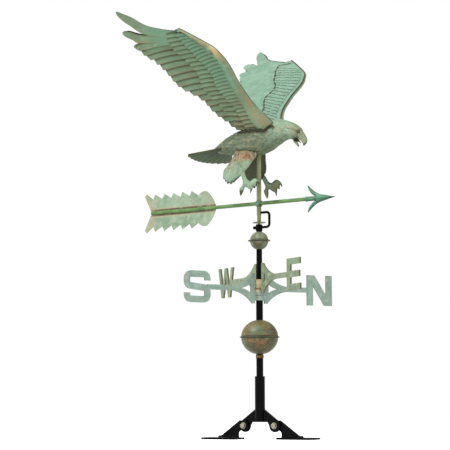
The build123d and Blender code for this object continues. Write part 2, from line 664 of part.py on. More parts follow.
TAIL_APEX = (-86.0, 820.0)
TAIL_SLOPE = 18.0
TAIL_R, TAIL_MIDDLE_R = 138.0, 119.0    # from the apex to the outer and the middle feather tips
TAIL_HALF_ANGLE, TAIL_FEATHERS = 47.5, 9
NOTCH_DEPTH = 4.0              # of the notches between the tail's feathers


def tail_fan(outer):
    """A flat fan of round-tipped feathers that slopes down behind the body."""
    step = 2 * TAIL_HALF_ANGLE / TAIL_FEATHERS

    def rim(offset, inset):
        """A point near the rear edge, from its angle off the middle and how far it is inside."""
        radius = TAIL_MIDDLE_R + (TAIL_R - TAIL_MIDDLE_R) * (offset / TAIL_HALF_ANGLE) ** 2 - inset
        angle = math.radians(180.0 + offset)
        return (radius * math.cos(angle), radius * math.sin(angle))

    edges = []
    first = None
    last = None
    for k in range(TAIL_FEATHERS + 1):
        offset = -TAIL_HALF_ANGLE + k * step
        point = rim(offset, NOTCH_DEPTH)
        if last is not None:
            edges.append(ThreePointArc(last, rim(offset - step / 2, 0.0), point))
        else:
            first = point
        last = point
    edges.append(Polyline(last, (-14.0, -14.0), (-14.0, 14.0), first))
    fan = extrude(make_face(edges), amount=SHEET)
    slope = math.radians(TAIL_SLOPE)
    where = Plane(origin=(TAIL_APEX[0], 0, TAIL_APEX[1]), x_dir=(math.cos(slope), 0, math.sin(slope)),
                  z_dir=(-math.sin(slope), 0, math.cos(slope)))
    return solid_part(where * fan - outer)


LEG_TOP = (28.0, 790.0)       # |Y| and Z where a leg sheet leaves the body
LEG_SPLAY = math.degrees(math.atan(0.31))
THIGH = ((-59.0, 800.0), (8.0, 793.0), (4.0, 772.0), (-6.0, 745.0), (-19.0, 731.0), (-33.0, 718.0),
         (-44.0, 711.0), (-53.0, 704.0), (-65.0, 704.0), (-77.0, 714.0), (-88.0, 727.0), (-89.0, 742.0),
         (-81.0, 755.0), (-69.0, 772.0))
FOOT = ((-26.0, 727.0), (-15.0, 734.0), (-6.0, 717.0), (4.0, 712.0), (14.0, 717.0), (24.0, 719.5),
        (33.0, 714.0), (38.0, 706.0), (37.0, 697.0), (32.0, 705.0), (27.0, 692.0), (21.0, 695.0),
        (13.5, 675.5), (10.0, 685.0), (3.0, 689.0), (-6.0, 695.0), (-11.0, 693.0), (-13.0, 682.0),
        (-19.0, 670.5), (-25.0, 681.0), (-26.5, 692.0), (-19.0, 703.0))


def leg_sheet(points, inner, outer_y):
    """A sheet drawn in X and Z, between two depths measured out from the leg's plane."""
    lean = 1 / math.cos(math.radians(LEG_SPLAY))
    face = polygon([(x, (z - LEG_TOP[1]) * lean) for x, z in points])
    sheet = Pos(0, outer_y, 0) * (Plane.XZ * extrude(face, amount=outer_y - inner))
    return Pos(0, LEG_TOP[0], LEG_TOP[1]) * Rot(LEG_SPLAY, 0, 0) * sheet


def build_legs(outer):
    thigh = solid_part(leg_sheet(THIGH, 0.0, 6.0) - outer)
    foot = leg_sheet(FOOT, 0.0, 5.0)
    thigh = solid_part(thigh - foot)
    for side, turn in (("left", lambda s: s), ("right", mirrored)):
        save(f"{side}_thigh", turn(thigh))
        save(f"{side}_talons", turn(solid_part(foot)))


def build_eagle():
    outer = body_loft(0.0)
    build_body(outer)
    build_wings(outer)
    save("tail_fan", tail_fan(outer))
    build_legs(outer)


def main():
    os.makedirs("parts", exist_ok=True)
    build_bracket()
    build_mast()
    build_hold_down()
    build_directionals()
    build_spindle()
    build_arrow()
    build_eagle()


main()
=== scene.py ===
"""Looks of the roof-mounted eagle weather vane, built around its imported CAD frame.

Lengths in the shape functions are millimetres in the frame's axes: +X along the arrow,
+Y to the eagle's left, +Z up the mast. They are turned into metres where a mesh is made.
Lengths in the materials, the camera and the lights are metres.
"""

import json
import math

import bpy
import numpy as np
from mathutils import Matrix, Vector
from mathutils.geometry import delaunay_2d_cdt


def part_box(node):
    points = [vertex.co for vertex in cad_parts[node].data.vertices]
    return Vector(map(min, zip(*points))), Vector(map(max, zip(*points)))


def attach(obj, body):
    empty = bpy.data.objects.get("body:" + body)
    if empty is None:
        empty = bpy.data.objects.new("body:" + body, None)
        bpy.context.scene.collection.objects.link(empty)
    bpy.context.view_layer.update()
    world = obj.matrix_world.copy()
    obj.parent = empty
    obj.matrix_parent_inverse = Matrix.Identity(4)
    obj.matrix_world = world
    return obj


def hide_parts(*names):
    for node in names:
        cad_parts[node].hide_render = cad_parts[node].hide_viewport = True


MM = 0.001
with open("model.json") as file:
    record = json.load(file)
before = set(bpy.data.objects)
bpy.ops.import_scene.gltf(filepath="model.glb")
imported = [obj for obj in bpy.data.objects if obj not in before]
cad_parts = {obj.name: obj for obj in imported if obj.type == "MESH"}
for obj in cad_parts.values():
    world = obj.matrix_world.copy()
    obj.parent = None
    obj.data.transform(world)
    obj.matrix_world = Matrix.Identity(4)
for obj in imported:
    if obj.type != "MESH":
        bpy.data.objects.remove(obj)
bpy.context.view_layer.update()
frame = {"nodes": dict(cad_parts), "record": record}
nodes = frame["nodes"]
scene = bpy.context.scene
random = np.random.default_rng(11)


def placed(name, data):
    """A new object in the scene."""
    thing = bpy.data.objects.new(name, data)
    scene.collection.objects.link(thing)
    return thing


# -------------------- colours

def paint(red, green, blue, tone=0.50):
    """A colour given in display values from 0 to 255, dimmed for the studio's bright light."""
    linear = []
    for value in (red, green, blue):
        value /= 255.0
        linear.append(tone * (value / 12.92 if value <= 0.04045 else ((value + 0.055) / 1.055) ** 2.4))
    return (*linear, 1.0)


class Shader:
    """A material and short names for the nodes that it is built from."""

    def __init__(self, name):
        self.material = bpy.data.materials.new(name)
        self.material.use_nodes = True
        self.tree = self.material.node_tree
        self.surface = self.tree.nodes["Principled BSDF"]
        coordinates = self.tree.nodes.new("ShaderNodeTexCoord")
        self.place = coordinates.outputs["Object"]
        self.facing = coordinates.outputs["Normal"]

    def set(self, socket, value):
        if isinstance(value, bpy.types.NodeSocket):
            self.tree.links.new(value, socket)
        else:
            socket.default_value = value

    def node(self, kind, inputs, **settings):
        """The outputs of a new node, once its settings and then its inputs are set."""
        node = self.tree.nodes.new(kind)
        for name, value in settings.items():
            setattr(node, name, value)
        for key, value in inputs.items():
            self.set(node.inputs[key], value)
        return node.outputs

    def noise(self, scale, detail, roughness, distortion=0.0, stretch=None):
        """Cloudy noise, stretched along an axis where its scale in stretch is small."""
        place = self.place
        if stretch:
            place = self.node("ShaderNodeMapping", {"Vector": place, "Scale": stretch})["Vector"]
        return self.node("ShaderNodeTexNoise", {
            "Vector": place, "Scale": scale, "Detail": detail, "Roughness": roughness,
            "Distortion": distortion})["Fac"]

    def fade(self, value, low, high, to_low=0.0, to_high=1.0):
        """A smooth step of a value from low to high."""
        return self.node("ShaderNodeMapRange", {
            "Value": value, "From Min": low, "From Max": high, "To Min": to_low, "To Max": to_high},
            interpolation_type="SMOOTHSTEP")["Result"]

    def mix(self, share, first, second, kind="MIX"):
        return self.node("ShaderNodeMix", {0: share, 6: first, 7: second}, data_type="RGBA",
                         blend_type=kind)[2]

    def over(self, colour, paint_values, *shares):
        """A second paint over a colour, as far as the product of its shares."""
        share = shares[0]
        for other in shares[1:]:
            share = self.maths("MULTIPLY", share, other)
        return self.mix(share, colour, paint(*paint_values))

    def maths(self, operation, first, second=0.0):
        return self.node("ShaderNodeMath", {0: first, 1: second}, operation=operation)[0]

    def mask(self, name):
        """A mask painted on the mesh, which is 0 where the mesh has none."""
        return self.node("ShaderNodeAttribute", {}, attribute_name=name)["Fac"]

    def axis(self, letter):
        return self.node("ShaderNodeSeparateXYZ", {0: self.place})[letter]

    def toward(self, direction):
        """How squarely the surface faces a fixed direction of the object."""
        return self.node("ShaderNodeVectorMath", {0: self.facing, 1: direction},
                         operation="DOT_PRODUCT")["Value"]

    def edge_on(self, degrees):
        """1 on the narrow sides of an upright plate whose faces look along a heading from +X."""
        heading = math.radians(degrees)
        across = self.maths("ABSOLUTE", self.toward((math.cos(heading), math.sin(heading), 0.0)))
        return self.fade(across, 0.55, 0.93, 1.0, 0.0)

    def bump(self, height, strength, distance, normal=None):
        inputs = {"Height": height, "Strength": strength, "Distance": distance}
        if normal is not None:
            inputs["Normal"] = normal
        return self.node("ShaderNodeBump", inputs)["Normal"]

    def finish(self, colour, metallic, roughness, normal=None, specular=0.5):
        inputs = self.surface.inputs
        inputs["Specular IOR Level"].default_value = specular
        self.set(inputs["Base Color"], colour)
        self.set(inputs["Metallic"], metallic)
        self.set(inputs["Roughness"], roughness)
        if normal is not None:
            self.set(inputs["Normal"], normal)
        return self.material


# Dark brown for painted shade in the deepest recesses, and for dark seams.
SHADE_AND_SEAM_BROWN = paint(52, 42, 28)
TAN = paint(170, 146, 108)
COPPER = paint(184, 116, 72)
RUST = paint(174, 92, 50)
TEAL = paint(100, 176, 148)
# The colour of a painted highlight.
GOLD_HIGHLIGHT = paint(236, 204, 140)


def verdigris(name, middle, light, deep, tan_share, copper_share=0.0, copper_size=40.0,
              grain=(1.0, 1.0, 1.0), roughness=0.60, extra=None):
    """Aged copper: mottled greens, tan and copper showing through, painted shade and dark seams in the
    recesses, painted shade on faces turned down, and a painted gold highlight where marked.
    """
    s = Shader(name)
    middle, light, deep = (paint(*values) for values in (middle, light, deep))
    broad = s.noise(16, 3, 0.55, 0.3)
    patch = s.noise(55, 6, 0.62, 0.4, grain)
    speck = s.noise(330, 5, 0.7, 0, grain)
    colour = s.mix(s.fade(broad, 0.36, 0.66), deep, middle)
    colour = s.mix(s.fade(patch, 0.44, 0.70), colour, light)
    rub = s.maths("ADD", s.noise(31, 7, 0.68, 0.9, grain), s.maths("MULTIPLY", s.mask("tan"), 0.24))
    colour = s.mix(s.fade(rub, 0.72 - 0.3 * tan_share, 0.86 - 0.3 * tan_share, 0.0, 0.8), colour, TAN)
    if copper_share:
        blotch = s.noise(copper_size, 5, 0.6, 1.2)
        colour = s.mix(s.fade(blotch, 0.66 - 0.25 * copper_share, 0.76 - 0.25 * copper_share, 0.0, 0.7),
                       colour, COPPER)
    colour = s.mix(s.mask("teal"), colour, TEAL)
    patchy = s.fade(s.noise(95, 5, 0.62, 0.6), 0.36, 0.58)
    colour = s.mix(s.maths("MULTIPLY", s.mask("copper"), patchy), colour, RUST)
    # A painted highlight in gold where the mesh marks one.
    colour = s.mix(s.mask("gold"), colour, GOLD_HIGHLIGHT)
    if extra:
        colour = extra(s, colour)
    colour = s.mix(s.fade(speck, 0.30, 0.75, 0.34, 0.0), colour, deep)
    shadow = s.mix(1.0, deep, paint(168, 160, 130, 1.0), "MULTIPLY")
    # Painted shade: surfaces that face down are darkened.
    painted_underside_shade = s.fade(s.toward((0.0, 0.0, -1.0)), 0.2, 0.95, 0.0, 0.32)
    colour = s.mix(painted_underside_shade, colour, shadow)
    # Painted shade, and dark seams and marks, where the mesh's shade and dark mask is set.
    colour = s.mix(s.fade(s.mask("cavity"), 0.0, 0.65, 0.0, 0.85), colour, shadow)
    colour = s.mix(s.fade(s.mask("cavity"), 0.45, 1.0, 0.0, 0.9), colour, SHADE_AND_SEAM_BROWN)
    rough = s.fade(patch, 0.3, 0.75, roughness - 0.10, roughness + 0.12)
    normal = s.bump(s.maths("SINE", s.mask("barb")), 0.22, 0.0005)
    normal = s.bump(speck, 0.22, 0.0006, normal)
    normal = s.bump(patch, 0.18, 0.0018, normal)
    return s.finish(colour, 0.12, rough, normal, 0.16)


def powder_coat(name, values):
    """Satin black powder coat with a fine orange-peel surface."""
    s = Shader(name)
    peel = s.noise(900, 2, 0.5)
    dust = s.noise(60, 6, 0.65)
    shade = s.over(paint(*values), (44, 44, 42), s.fade(dust, 0.5, 0.78, 0.0, 0.08))
    normal = s.bump(peel, 0.16, 0.0003)
    return s.finish(shade, 0.0, s.fade(dust, 0.3, 0.7, 0.26, 0.40), normal, 0.05)


def plated(name, first, second, roughness, metallic=1.0):
    """Bare or plated metal with faint stains and turning marks."""
    s = Shader(name)
    stain = s.noise(240, 5, 0.6)
    marks = s.noise(60, 2, 0.5, 0, (1, 1, 40))
    colour = s.over(paint(*first), second, s.fade(stain, 0.35, 0.7))
    normal = s.bump(marks, 0.12, 0.0003)
    return s.finish(colour, metallic, s.fade(stain, 0.3, 0.7, roughness - 0.06, roughness + 0.1), normal)


COMPASS_TURN = 25.0     # the letters' bars are turned this far from the arrow and its cross line
HUB_R, HUB_GROOVE_Z = 0.014, 0.4115


def north_south_tint(s, colour):
    """Grey-green dirt on the north-south bar, and darker tan on its narrow edges as painted shade."""
    colour = s.over(colour, (136, 146, 128), s.fade(s.noise(26, 5, 0.6, 0.5), 0.50, 0.66, 0.0, 0.3))
    # Painted shade: the narrow edges are darkened to tan.
    colour = s.over(colour, (138, 128, 100), s.edge_on(-COMPASS_TURN), 0.75)
    return hub_tint(s, colour)


def east_west_tint(s, colour):
    """Brown where water has run down the east-west bar, greener letters, and brown edges that are painted
    shade.
    """
    run = s.fade(s.noise(34, 6, 0.65, 0.8, (1, 1, 0.5)), 0.52, 0.66, 0.0, 0.5)
    colour = s.over(colour, (128, 112, 76), run)
    colour = s.over(colour, (124, 154, 112), s.fade(s.axis("Z"), 0.452, 0.474, 0.0, 0.6))
    # Painted shade: the narrow edges are darkened to brown.
    colour = s.over(colour, (98, 82, 52), s.edge_on(90.0 - COMPASS_TURN), 0.8)
    return hub_tint(s, colour)


def hub_tint(s, colour):
    """The hub rings are rubbed to a cream tan, with rust in the groove between them."""
    across = s.maths("ADD", s.maths("POWER", s.axis("X"), 2.0), s.maths("POWER", s.axis("Y"), 2.0))
    hub = s.fade(across, HUB_R ** 2, (HUB_R + 0.0015) ** 2, 1.0, 0.0)
    upper = s.fade(s.axis("Z"), 0.399, 0.407)
    cream = s.over(paint(208, 184, 146), (172, 150, 108), s.fade(s.noise(90, 4, 0.6), 0.4, 0.65))
    from_groove = s.maths("ABSOLUTE", s.maths("SUBTRACT", s.axis("Z"), HUB_GROOVE_Z))
    cream = s.over(cream, (150, 92, 44), s.fade(from_groove, 0.0012, 0.0028, 1.0, 0.0))
    return s.mix(s.maths("MULTIPLY", hub, upper), colour, cream)


FIN_SEAM_Z = sum(corner.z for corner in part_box("arrow_fin")) / 2


def fin_tint(s, colour):
    """Cream and rust solder beside the shaft, and tan streaks over the front lobes."""
    height = s.maths("ABSOLUTE", s.maths("SUBTRACT", s.axis("Z"), FIN_SEAM_Z))
    wander = s.maths("MULTIPLY", s.noise(42, 5, 0.65, 0.6), 0.010)
    solder = s.fade(s.maths("SUBTRACT", height, wander), 0.0060, 0.0105, 1.0, 0.0)
    blotch = s.fade(s.noise(60, 5, 0.65, 0.5), 0.40, 0.60, 0.35, 0.9)
    colour = s.over(colour, (186, 160, 128), solder, blotch)
    line = s.fade(height, 0.0086, 0.0112, 1.0, 0.0)
    rust = s.fade(s.noise(36, 4, 0.6), 0.34, 0.52, 0.55, 1.0)
    colour = s.over(colour, (92, 60, 42), line, rust)
    rear = s.fade(s.axis("X"), -0.392, -0.350, 0.65, 0.0)
    worn = s.fade(s.noise(48, 5, 0.62, 0.8), 0.40, 0.56)
    colour = s.over(colour, (176, 152, 118), rear, worn)
    # Painted shade: the fin's narrow edges are darkened to tan.
    colour = s.over(colour, (150, 128, 96), s.edge_on(90.0), 0.7)
    front = s.fade(s.axis("X"), -0.235, -0.16)
    streak = s.fade(s.noise(26, 6, 0.66, 0.9, (1, 1, 0.6)), 0.49, 0.62)
    return s.over(colour, (182, 160, 130), front, streak, 0.6)


def plumage_tint(s, colour):
    """Browner to the rear, paler at the breast, olive on the face, with scratches along the feathers."""
    x = s.axis("X")
    rear = s.fade(x, 0.02, 0.09, 1.0, 0.35)
    colour = s.over(colour, (172, 200, 176), s.fade(x, 0.03, 0.08, 0.0, 0.4))
    colour = s.over(colour, (138, 140, 104), s.fade(x, 0.105, 0.135, 0.0, 0.75))
    colour = s.over(colour, (86, 80, 56), s.fade(x, 0.0, 0.08, 0.42, 0.0))
    rubbed = s.fade(s.noise(150, 4, 0.6, 0.8, (0.30, 1, 1)), 0.49, 0.58, 0.0, 0.6)
    colour = s.over(colour, (178, 168, 132), rubbed, rear)
    dark = s.fade(s.noise(175, 4, 0.62, 1, (0.32, 1, 0.9)), 0.49, 0.58, 0.0, 0.75)
    return s.over(colour, (84, 82, 54), dark, rear)


def leg_tint(s, colour):
    """Brown and cream scratches down the feathers of the thigh, and none on the foot."""
    thigh = s.fade(s.axis("Z"), 0.712, 0.775)
    bare = s.maths("SUBTRACT", 1.0, s.mask("copper"))
    colour = s.over(colour, (146, 108, 76), s.fade(s.axis("Z"), 0.762, 0.80, 0.0, 0.35), bare)
    rubbed = s.fade(s.noise(95, 5, 0.6, 0.8, (1, 1, 0.34)), 0.48, 0.56, 0.0, 0.7)
    colour = s.over(colour, (178, 152, 118), rubbed, thigh)
    dark = s.fade(s.noise(110, 5, 0.62, 1, (1, 1, 0.36)), 0.51, 0.58, 0.0, 0.8)
    return s.over(colour, (104, 84, 58), dark, thigh)


def globe_tint(s, colour):
    """Teal and dark olive spots between the copper, and painted shade on faces turned down."""
    teal = s.fade(s.noise(26, 5, 0.62, 0.8), 0.50, 0.62, 0.0, 0.65)
    colour = s.over(colour, (90, 124, 104), teal)
    small = s.fade(s.axis("Z"), 0.50, 0.53)
    crown = s.fade(s.noise(36, 4, 0.6, 0.6), 0.40, 0.56, 0.0, 0.8)
    colour = s.over(colour, (142, 160, 136), small, crown)
    colour = s.over(colour, (74, 72, 48), s.fade(s.noise(120, 4, 0.65, 0.4), 0.50, 0.62, 0.0, 0.55))
    # Painted shade: darker olive where the globe's surface faces down.
    colour = s.over(colour, (66, 74, 50), s.fade(s.toward((0.0, 0.0, -1.0)), -0.1, 0.9, 0.0, 0.5))
    spark = s.fade(s.noise(150, 3, 0.6, 0.4), 0.60, 0.68, 0.0, 0.7)
    return s.over(colour, (206, 138, 82), spark)


ALONG_X, ALONG_Z = (0.35, 1.0, 1.0), (1.0, 1.0, 0.4)    # the grain's stretch along feathers
MATERIALS = {
    "black_steel": powder_coat("black_powder_coat", (4, 4, 4)),
    "zinc": plated("zinc_plate", (190, 186, 168), (150, 144, 126), 0.38, 0.75),
    "bright_steel": plated("bright_steel", (186, 186, 186), (150, 150, 152), 0.28),
    "polished_brass": plated("aged_brass", (158, 116, 58), (78, 52, 26), 0.24),
    "bearing_brass": plated("bearing_brass", (190, 150, 84), (136, 100, 50), 0.34),
    "eye": plated("eye_patina", (92, 92, 68), (66, 62, 44), 0.3, 0.3),
}
PATINAS = {
    # middle, light and deep paints, the share of tan, and other settings
    "globe_copper": ((122, 112, 74), (144, 134, 96), (84, 80, 50), 0.45,
                     {"copper_share": 0.45, "copper_size": 30.0, "roughness": 0.50, "extra": globe_tint}),
    "north_south_verdigris": ((160, 184, 168), (180, 200, 184), (138, 164, 150), 0.30,
                              {"extra": north_south_tint}),
    "east_west_verdigris": ((144, 156, 130), (162, 174, 148), (116, 132, 104), 0.42,
                            {"extra": east_west_tint}),
    "spindle_patina": ((156, 162, 118), (176, 180, 136), (118, 124, 80), 0.15, {"grain": (1.0, 1.0, 0.3)}),
    "arrow_shaft_green": ((100, 140, 78), (126, 162, 100), (74, 106, 52), 0.15,
                          {"grain": (0.4, 1.0, 1.0), "roughness": 0.42}),
    "arrow_teal": ((84, 126, 98), (128, 168, 138), (50, 84, 62), 0.0, {}),
    "fin_verdigris": ((154, 172, 146), (170, 184, 160), (126, 150, 124), 0.20, {"extra": fin_tint}),
    "eagle_body_verdigris": ((138, 164, 140), (158, 184, 160), (114, 138, 112), 0.22,
                             {"grain": ALONG_X, "extra": plumage_tint}),
    "wing_verdigris": ((142, 167, 133), (155, 183, 152), (120, 145, 111), 0.34, {"grain": ALONG_X}),
    "wing_back_verdigris": ((130, 165, 142), (140, 173, 151), (114, 149, 127), -0.05, {"roughness": 0.48}),
    # The tail's paints are dark as painted shade for its underside; its top side is lightened with more tan.
    "tail_verdigris": ((74, 98, 56), (90, 112, 68), (56, 80, 42), 0.10, {"grain": ALONG_X}),
    "leg_verdigris": ((146, 174, 148), (162, 187, 162), (122, 149, 122), 0.15,
                      {"grain": ALONG_Z, "extra": leg_tint}),
}
for name, (*paints, tan_share, options) in PATINAS.items():
    MATERIALS[name] = verdigris(name, *paints, tan_share, **options)


# -------------------- mesh helpers

def smooth(value, low, high):
    """0 below low, 1 above high, and a smooth step between."""
    t = np.clip((value - low) / (high - low), 0.0, 1.0)
    return t * t * (3.0 - 2.0 * t)


def fall(value, low, high):
    """1 below low, 0 above high, and a smooth step between."""
    return 1 - smooth(value, low, high)


def dome(distance, reach):
    """0 at an edge, rounding up to 1 at its reach from the edge."""
    return np.sqrt(np.clip(distance / reach, 0, 1))


def hill(value, middle, width):
    """1 at the middle, fading out on both sides of it."""
    return np.exp(-(((value - np.asarray(middle)) / width) ** 2))


def turns(count):
    """Angles evenly spaced round a circle."""
    return np.linspace(0.0, 2 * np.pi, count, endpoint=False)


def curve(points, count, fine=24):
    """Evenly spaced points on a smooth line through the given ones."""
    p = np.array(points, float)
    p = np.vstack([2 * p[0] - p[1], p, 2 * p[-1] - p[-2]])
    t = np.linspace(0.0, 1.0, fine, endpoint=False)[:, None]
    pieces = []
    for a, b, c, d in zip(p, p[1:], p[2:], p[3:]):
        pieces.append(b + 0.5 * t * (c - a + t * (2 * a - 5 * b + 4 * c - d + t * (3 * (b - c) + d - a))))
    line = np.vstack(pieces + [p[-2:-1]])
    travelled = np.append(0.0, np.cumsum(np.linalg.norm(np.diff(line, axis=0), axis=1)))
    at = np.linspace(0.0, travelled[-1], count)
    return np.stack([np.interp(at, travelled, line[:, k]) for k in range(line.shape[1])], 1)


class Sculpt:
    """Surfaces and their painted masks, gathered into one mesh."""

    def __init__(self):
        self.points = []
        self.faces = []
        self.masks = {"cavity": [], "tan": [], "barb": [], "copper": [], "gold": [], "teal": []}
        self.count = 0

    def add(self, points, faces, **masks):
        points = np.asarray(points, float)
        self.points.append(points)
        self.faces.append(np.asarray(faces) + self.count)
        for name, kept in self.masks.items():
            mask = np.asarray(masks.get(name, 0.0), float)
            if name == "cavity":
                mask = np.clip(mask, 0, 1)
            kept.append(np.broadcast_to(mask, (len(points),)))
        self.count += len(points)

    def grid(self, points, outward=None, wrap=False, **masks):
        """A rows by columns sheet of points. outward says which side is its face."""
        rows, columns = points.shape[:2]
        index = np.arange(rows * columns).reshape(rows, columns)
        if wrap:
            index = np.hstack([index, index[:, :1]])
        quads = np.stack([index[:-1, :-1], index[1:, :-1], index[1:, 1:], index[:-1, 1:]], -1)
        quads = quads.reshape(-1, 4)
        flat = points.reshape(-1, 3)
        if outward is not None:
            corner = flat[quads]
            normal = np.cross(corner[:, 2] - corner[:, 0], corner[:, 3] - corner[:, 1])
            if outward is True:
                outward = corner.mean(1) - flat.mean(0)
            if (normal * outward).sum() < 0:
                quads = quads[:, ::-1]
        masks = {name: np.broadcast_to(value, (rows, columns)).ravel() for name, value in masks.items()}
        self.add(flat, quads, **masks)

    def build(self, name, body, slot, replaced=(), material=None):
        mesh = bpy.data.meshes.new(name)
        faces = [face for group in self.faces for face in group.tolist()]
        mesh.from_pydata((np.vstack(self.points) * MM).tolist(), [], faces)
        for mask, values in self.masks.items():
            layer = mesh.attributes.new(mask, "FLOAT", "POINT")
            layer.data.foreach_set("value", np.concatenate(values).astype(np.float32))
        mesh.shade_smooth()
        mesh.materials.append(material or MATERIALS[slot])
        piece = placed(name, mesh)
        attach(piece, body)
        if replaced:
            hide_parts(*replaced)


def outline_distance(points, outline):
    """How far each flat point is from the nearest side of a closed outline."""
    start = np.array(outline, float)
    end = np.roll(start, -1, axis=0)
    best = np.full(len(points), 1e9)
    for a, b in zip(start, end):
        along = b - a
        share = np.clip(((points - a) @ along) / max(along @ along, 1e-9), 0.0, 1.0)
        best = np.minimum(best, np.linalg.norm(points - a - share[:, None] * along, axis=1))
    return best


def filled(outline, spacing):
    """Triangles that fill a closed outline, with points on a grid inside it."""
    ring = np.array(outline, float)
    low, high = ring.min(0), ring.max(0)
    rows = [np.arange(low[k] + spacing / 2, high[k], spacing) for k in (0, 1)]
    cloud = np.stack(np.meshgrid(*rows), -1).reshape(-1, 2)
    cloud = cloud[outline_distance(cloud, ring) > spacing * 0.45]
    points = [Vector(p) for p in np.vstack([ring, cloud])]
    flat, _, faces, *_ = delaunay_2d_cdt(points, [], [list(range(len(ring)))], 1, 1e-5)
    flat = np.array([tuple(p) for p in flat])
    faces = np.array([f for f in faces if len(f) == 3])
    return flat, faces


def pressed(sculpt, outline, spacing, front, back, place, masks, back_masks=None):
    """A closed shape over an outline, its two faces set by functions of place and edge distance."""
    flat, faces = filled(outline, spacing)
    distance = outline_distance(flat, outline)
    x, z = flat[:, 0], flat[:, 1]
    for level, turn, painted in ((front, 1, masks), (back, -1, back_masks or masks)):
        depth = level(x, z, distance)
        sculpt.add(place(x, z, depth), faces[:, ::turn], **painted(x, z, distance))


def dense(points, step):
    """A closed outline, smooth through its points and evenly divided."""
    ring = [*points, points[0]]
    length = sum(math.dist(a, b) for a, b in zip(ring, ring[1:]))
    return curve(ring, int(length / step))[:-1]


SAME_POINT = 0.00002
FLAT_ANGLE, EDGE_ANGLE = math.radians(2.0), math.radians(38.0)


def bevelled(node, body, width, slot):
    """A copy of a CAD piece with its edges rounded as cast or rolled metal is."""
    piece = placed(node + "_finished", nodes[node].data.copy())
    piece.data.materials.clear()
    piece.data.materials.append(MATERIALS[slot])
    weld = piece.modifiers.new("weld", "WELD")
    weld.merge_threshold = SAME_POINT
    flatten = piece.modifiers.new("flatten", "DECIMATE")
    flatten.decimate_type = "DISSOLVE"
    flatten.angle_limit = FLAT_ANGLE
    edge = piece.modifiers.new("edge", "BEVEL")
    edge.width = width * MM
    edge.segments = 3
    edge.limit_method = "ANGLE"
    edge.angle_limit = EDGE_ANGLE
    piece.modifiers.new("normals", "WEIGHTED_NORMAL")
    piece.data.shade_smooth()
    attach(piece, body)
    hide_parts(node)


# -------------------- wings

# Sections from rump to beak: the top and bottom points in X and Z, and the half width.
BODY = (
    (-146, 812, -145, 806, 12),
    (-141, 817, -140, 803, 21),
    (-119, 834, -119, 799, 25.5),
    (-95, 847, -95, 794, 29),
    (-66, 857.5, -66, 789.5, 32.5),
    (-30, 866, -30, 785, 35),
    (5, 874, 5, 784.5, 36),
    (38, 879.5, 38, 793, 34),
    (62, 880.5, 62, 804.5, 29.5),
    (82, 877.5, 82, 814, 24),
    (101, 871, 100, 820, 19.5),
    (121, 863, 115, 819, 17.2),
    (135, 854, 126, 820.5, 14.6),
    (144.5, 846, 133, 818.5, 11),
    (150, 836.5, 138, 815.5, 8.4),
    (156.5, 827.5, 142.5, 812, 6.9),
    (161.5, 819, 146, 808, 5.6),
    (164, 811, 148.5, 804, 4.3),
    (161.5, 803.5, 150, 800, 2.9),
    (154, 797.2, 151.2, 796.8, 0.9),
)


def gap_to_body(points):
    """About how far points beside the body are from its skin."""
    top_x, top_z, bottom_x, bottom_z, half_width = np.array(BODY[:15], float).T
    x = points[..., 0]
    middle_x = (top_x + bottom_x) / 2
    middle = np.interp(x, middle_x, (top_z + bottom_z) / 2)
    half = np.interp(x, middle_x, (top_z - bottom_z) / 2)
    wide = np.interp(x, middle_x, half_width)
    return (np.hypot(points[..., 1] / wide, (points[..., 2] - middle) / half) - 1) * wide


WING_BASE_Z = 866.0
WING_RISE = math.radians(41.8)
CAMBER_CROWN, CAMBER_R = -150.0, 1500.0
SHOULDER_DEPTH = 17.0
JOINT_TOP_Z = 872.0
SHEET, COVER = 1.5, 1.6     # thicknesses of the wing and of the sheet over it
COVER_EDGES = 22
LEADING_EDGE = ((66, 6), (58, 30), (43, 58), (32, 95), (28, 130), (26, 172), (28, 205), (27, 235),
                (20, 262), (9, 286), (-24, 318), (-57, 348), (-72, 360))
NOTCHES = ((-230, 309), (-224, 292), (-207, 275), (-198, 255), (-189, 234), (-184, 211), (-182, 190),
           (-174, 170), (-156, 152), (-137, 133), (-122, 113), (-118, 92), (-112, 70), (-101, 50),
           (-86, 32), (-76, 10))
COVER_SEAM = ((-104, 338), (-103, 312), (-88, 276), (-78, 250), (-58, 220), (-54, 196), (-59, 172),
              (-60, 154), (-50, 128), (-34, 92), (-30, 30))
FLIGHT_ROOTS = ((-78, 316), (-72, 292), (-58, 262), (-46, 228), (-44, 190), (-42, 150), (-30, 110),
                (-18, 66), (-8, 10))
OUTER_TIPS = ((-112, 352), (-124, 323), (-117, 296), (-109, 278), (-98, 250), (-90, 227), (-86, 204),
              (-100, 166), (-92, 128), (-76, 86), (-62, 44), (-54, 10))
OUTER_ROOTS = ((-66, 350), (-52, 318), (-42, 290), (-36, 262), (-22, 228), (-18, 196), (-24, 166),
               (-16, 120), (-4, 80), (6, 40), (14, 10))
INNER_TIPS = ((-84, 350), (-75, 318), (-65, 289), (-59, 265), (-46, 228), (-40, 196), (-50, 166),
              (-42, 122), (-30, 80), (-20, 40), (-14, 10))
INNER_ROOTS = ((-62, 348), (-32, 314), (-8, 286), (4, 258), (8, 226), (8, 190), (8, 150), (12, 110),
               (20, 72), (30, 40), (36, 10))
OUTER_EDGES, INNER_EDGES = 24, 31       # the edges between the feathers of the two covert rows


def camber(x):
    return -((x - CAMBER_CROWN) ** 2) / (2 * CAMBER_R)


def shoulder(x, t):
    """1 where the wing's underside is thick over the body's side, fading out along the wing."""
    return smooth(x, -84, -35) * fall(x, 38, 66) * fall(t, 14, 95)


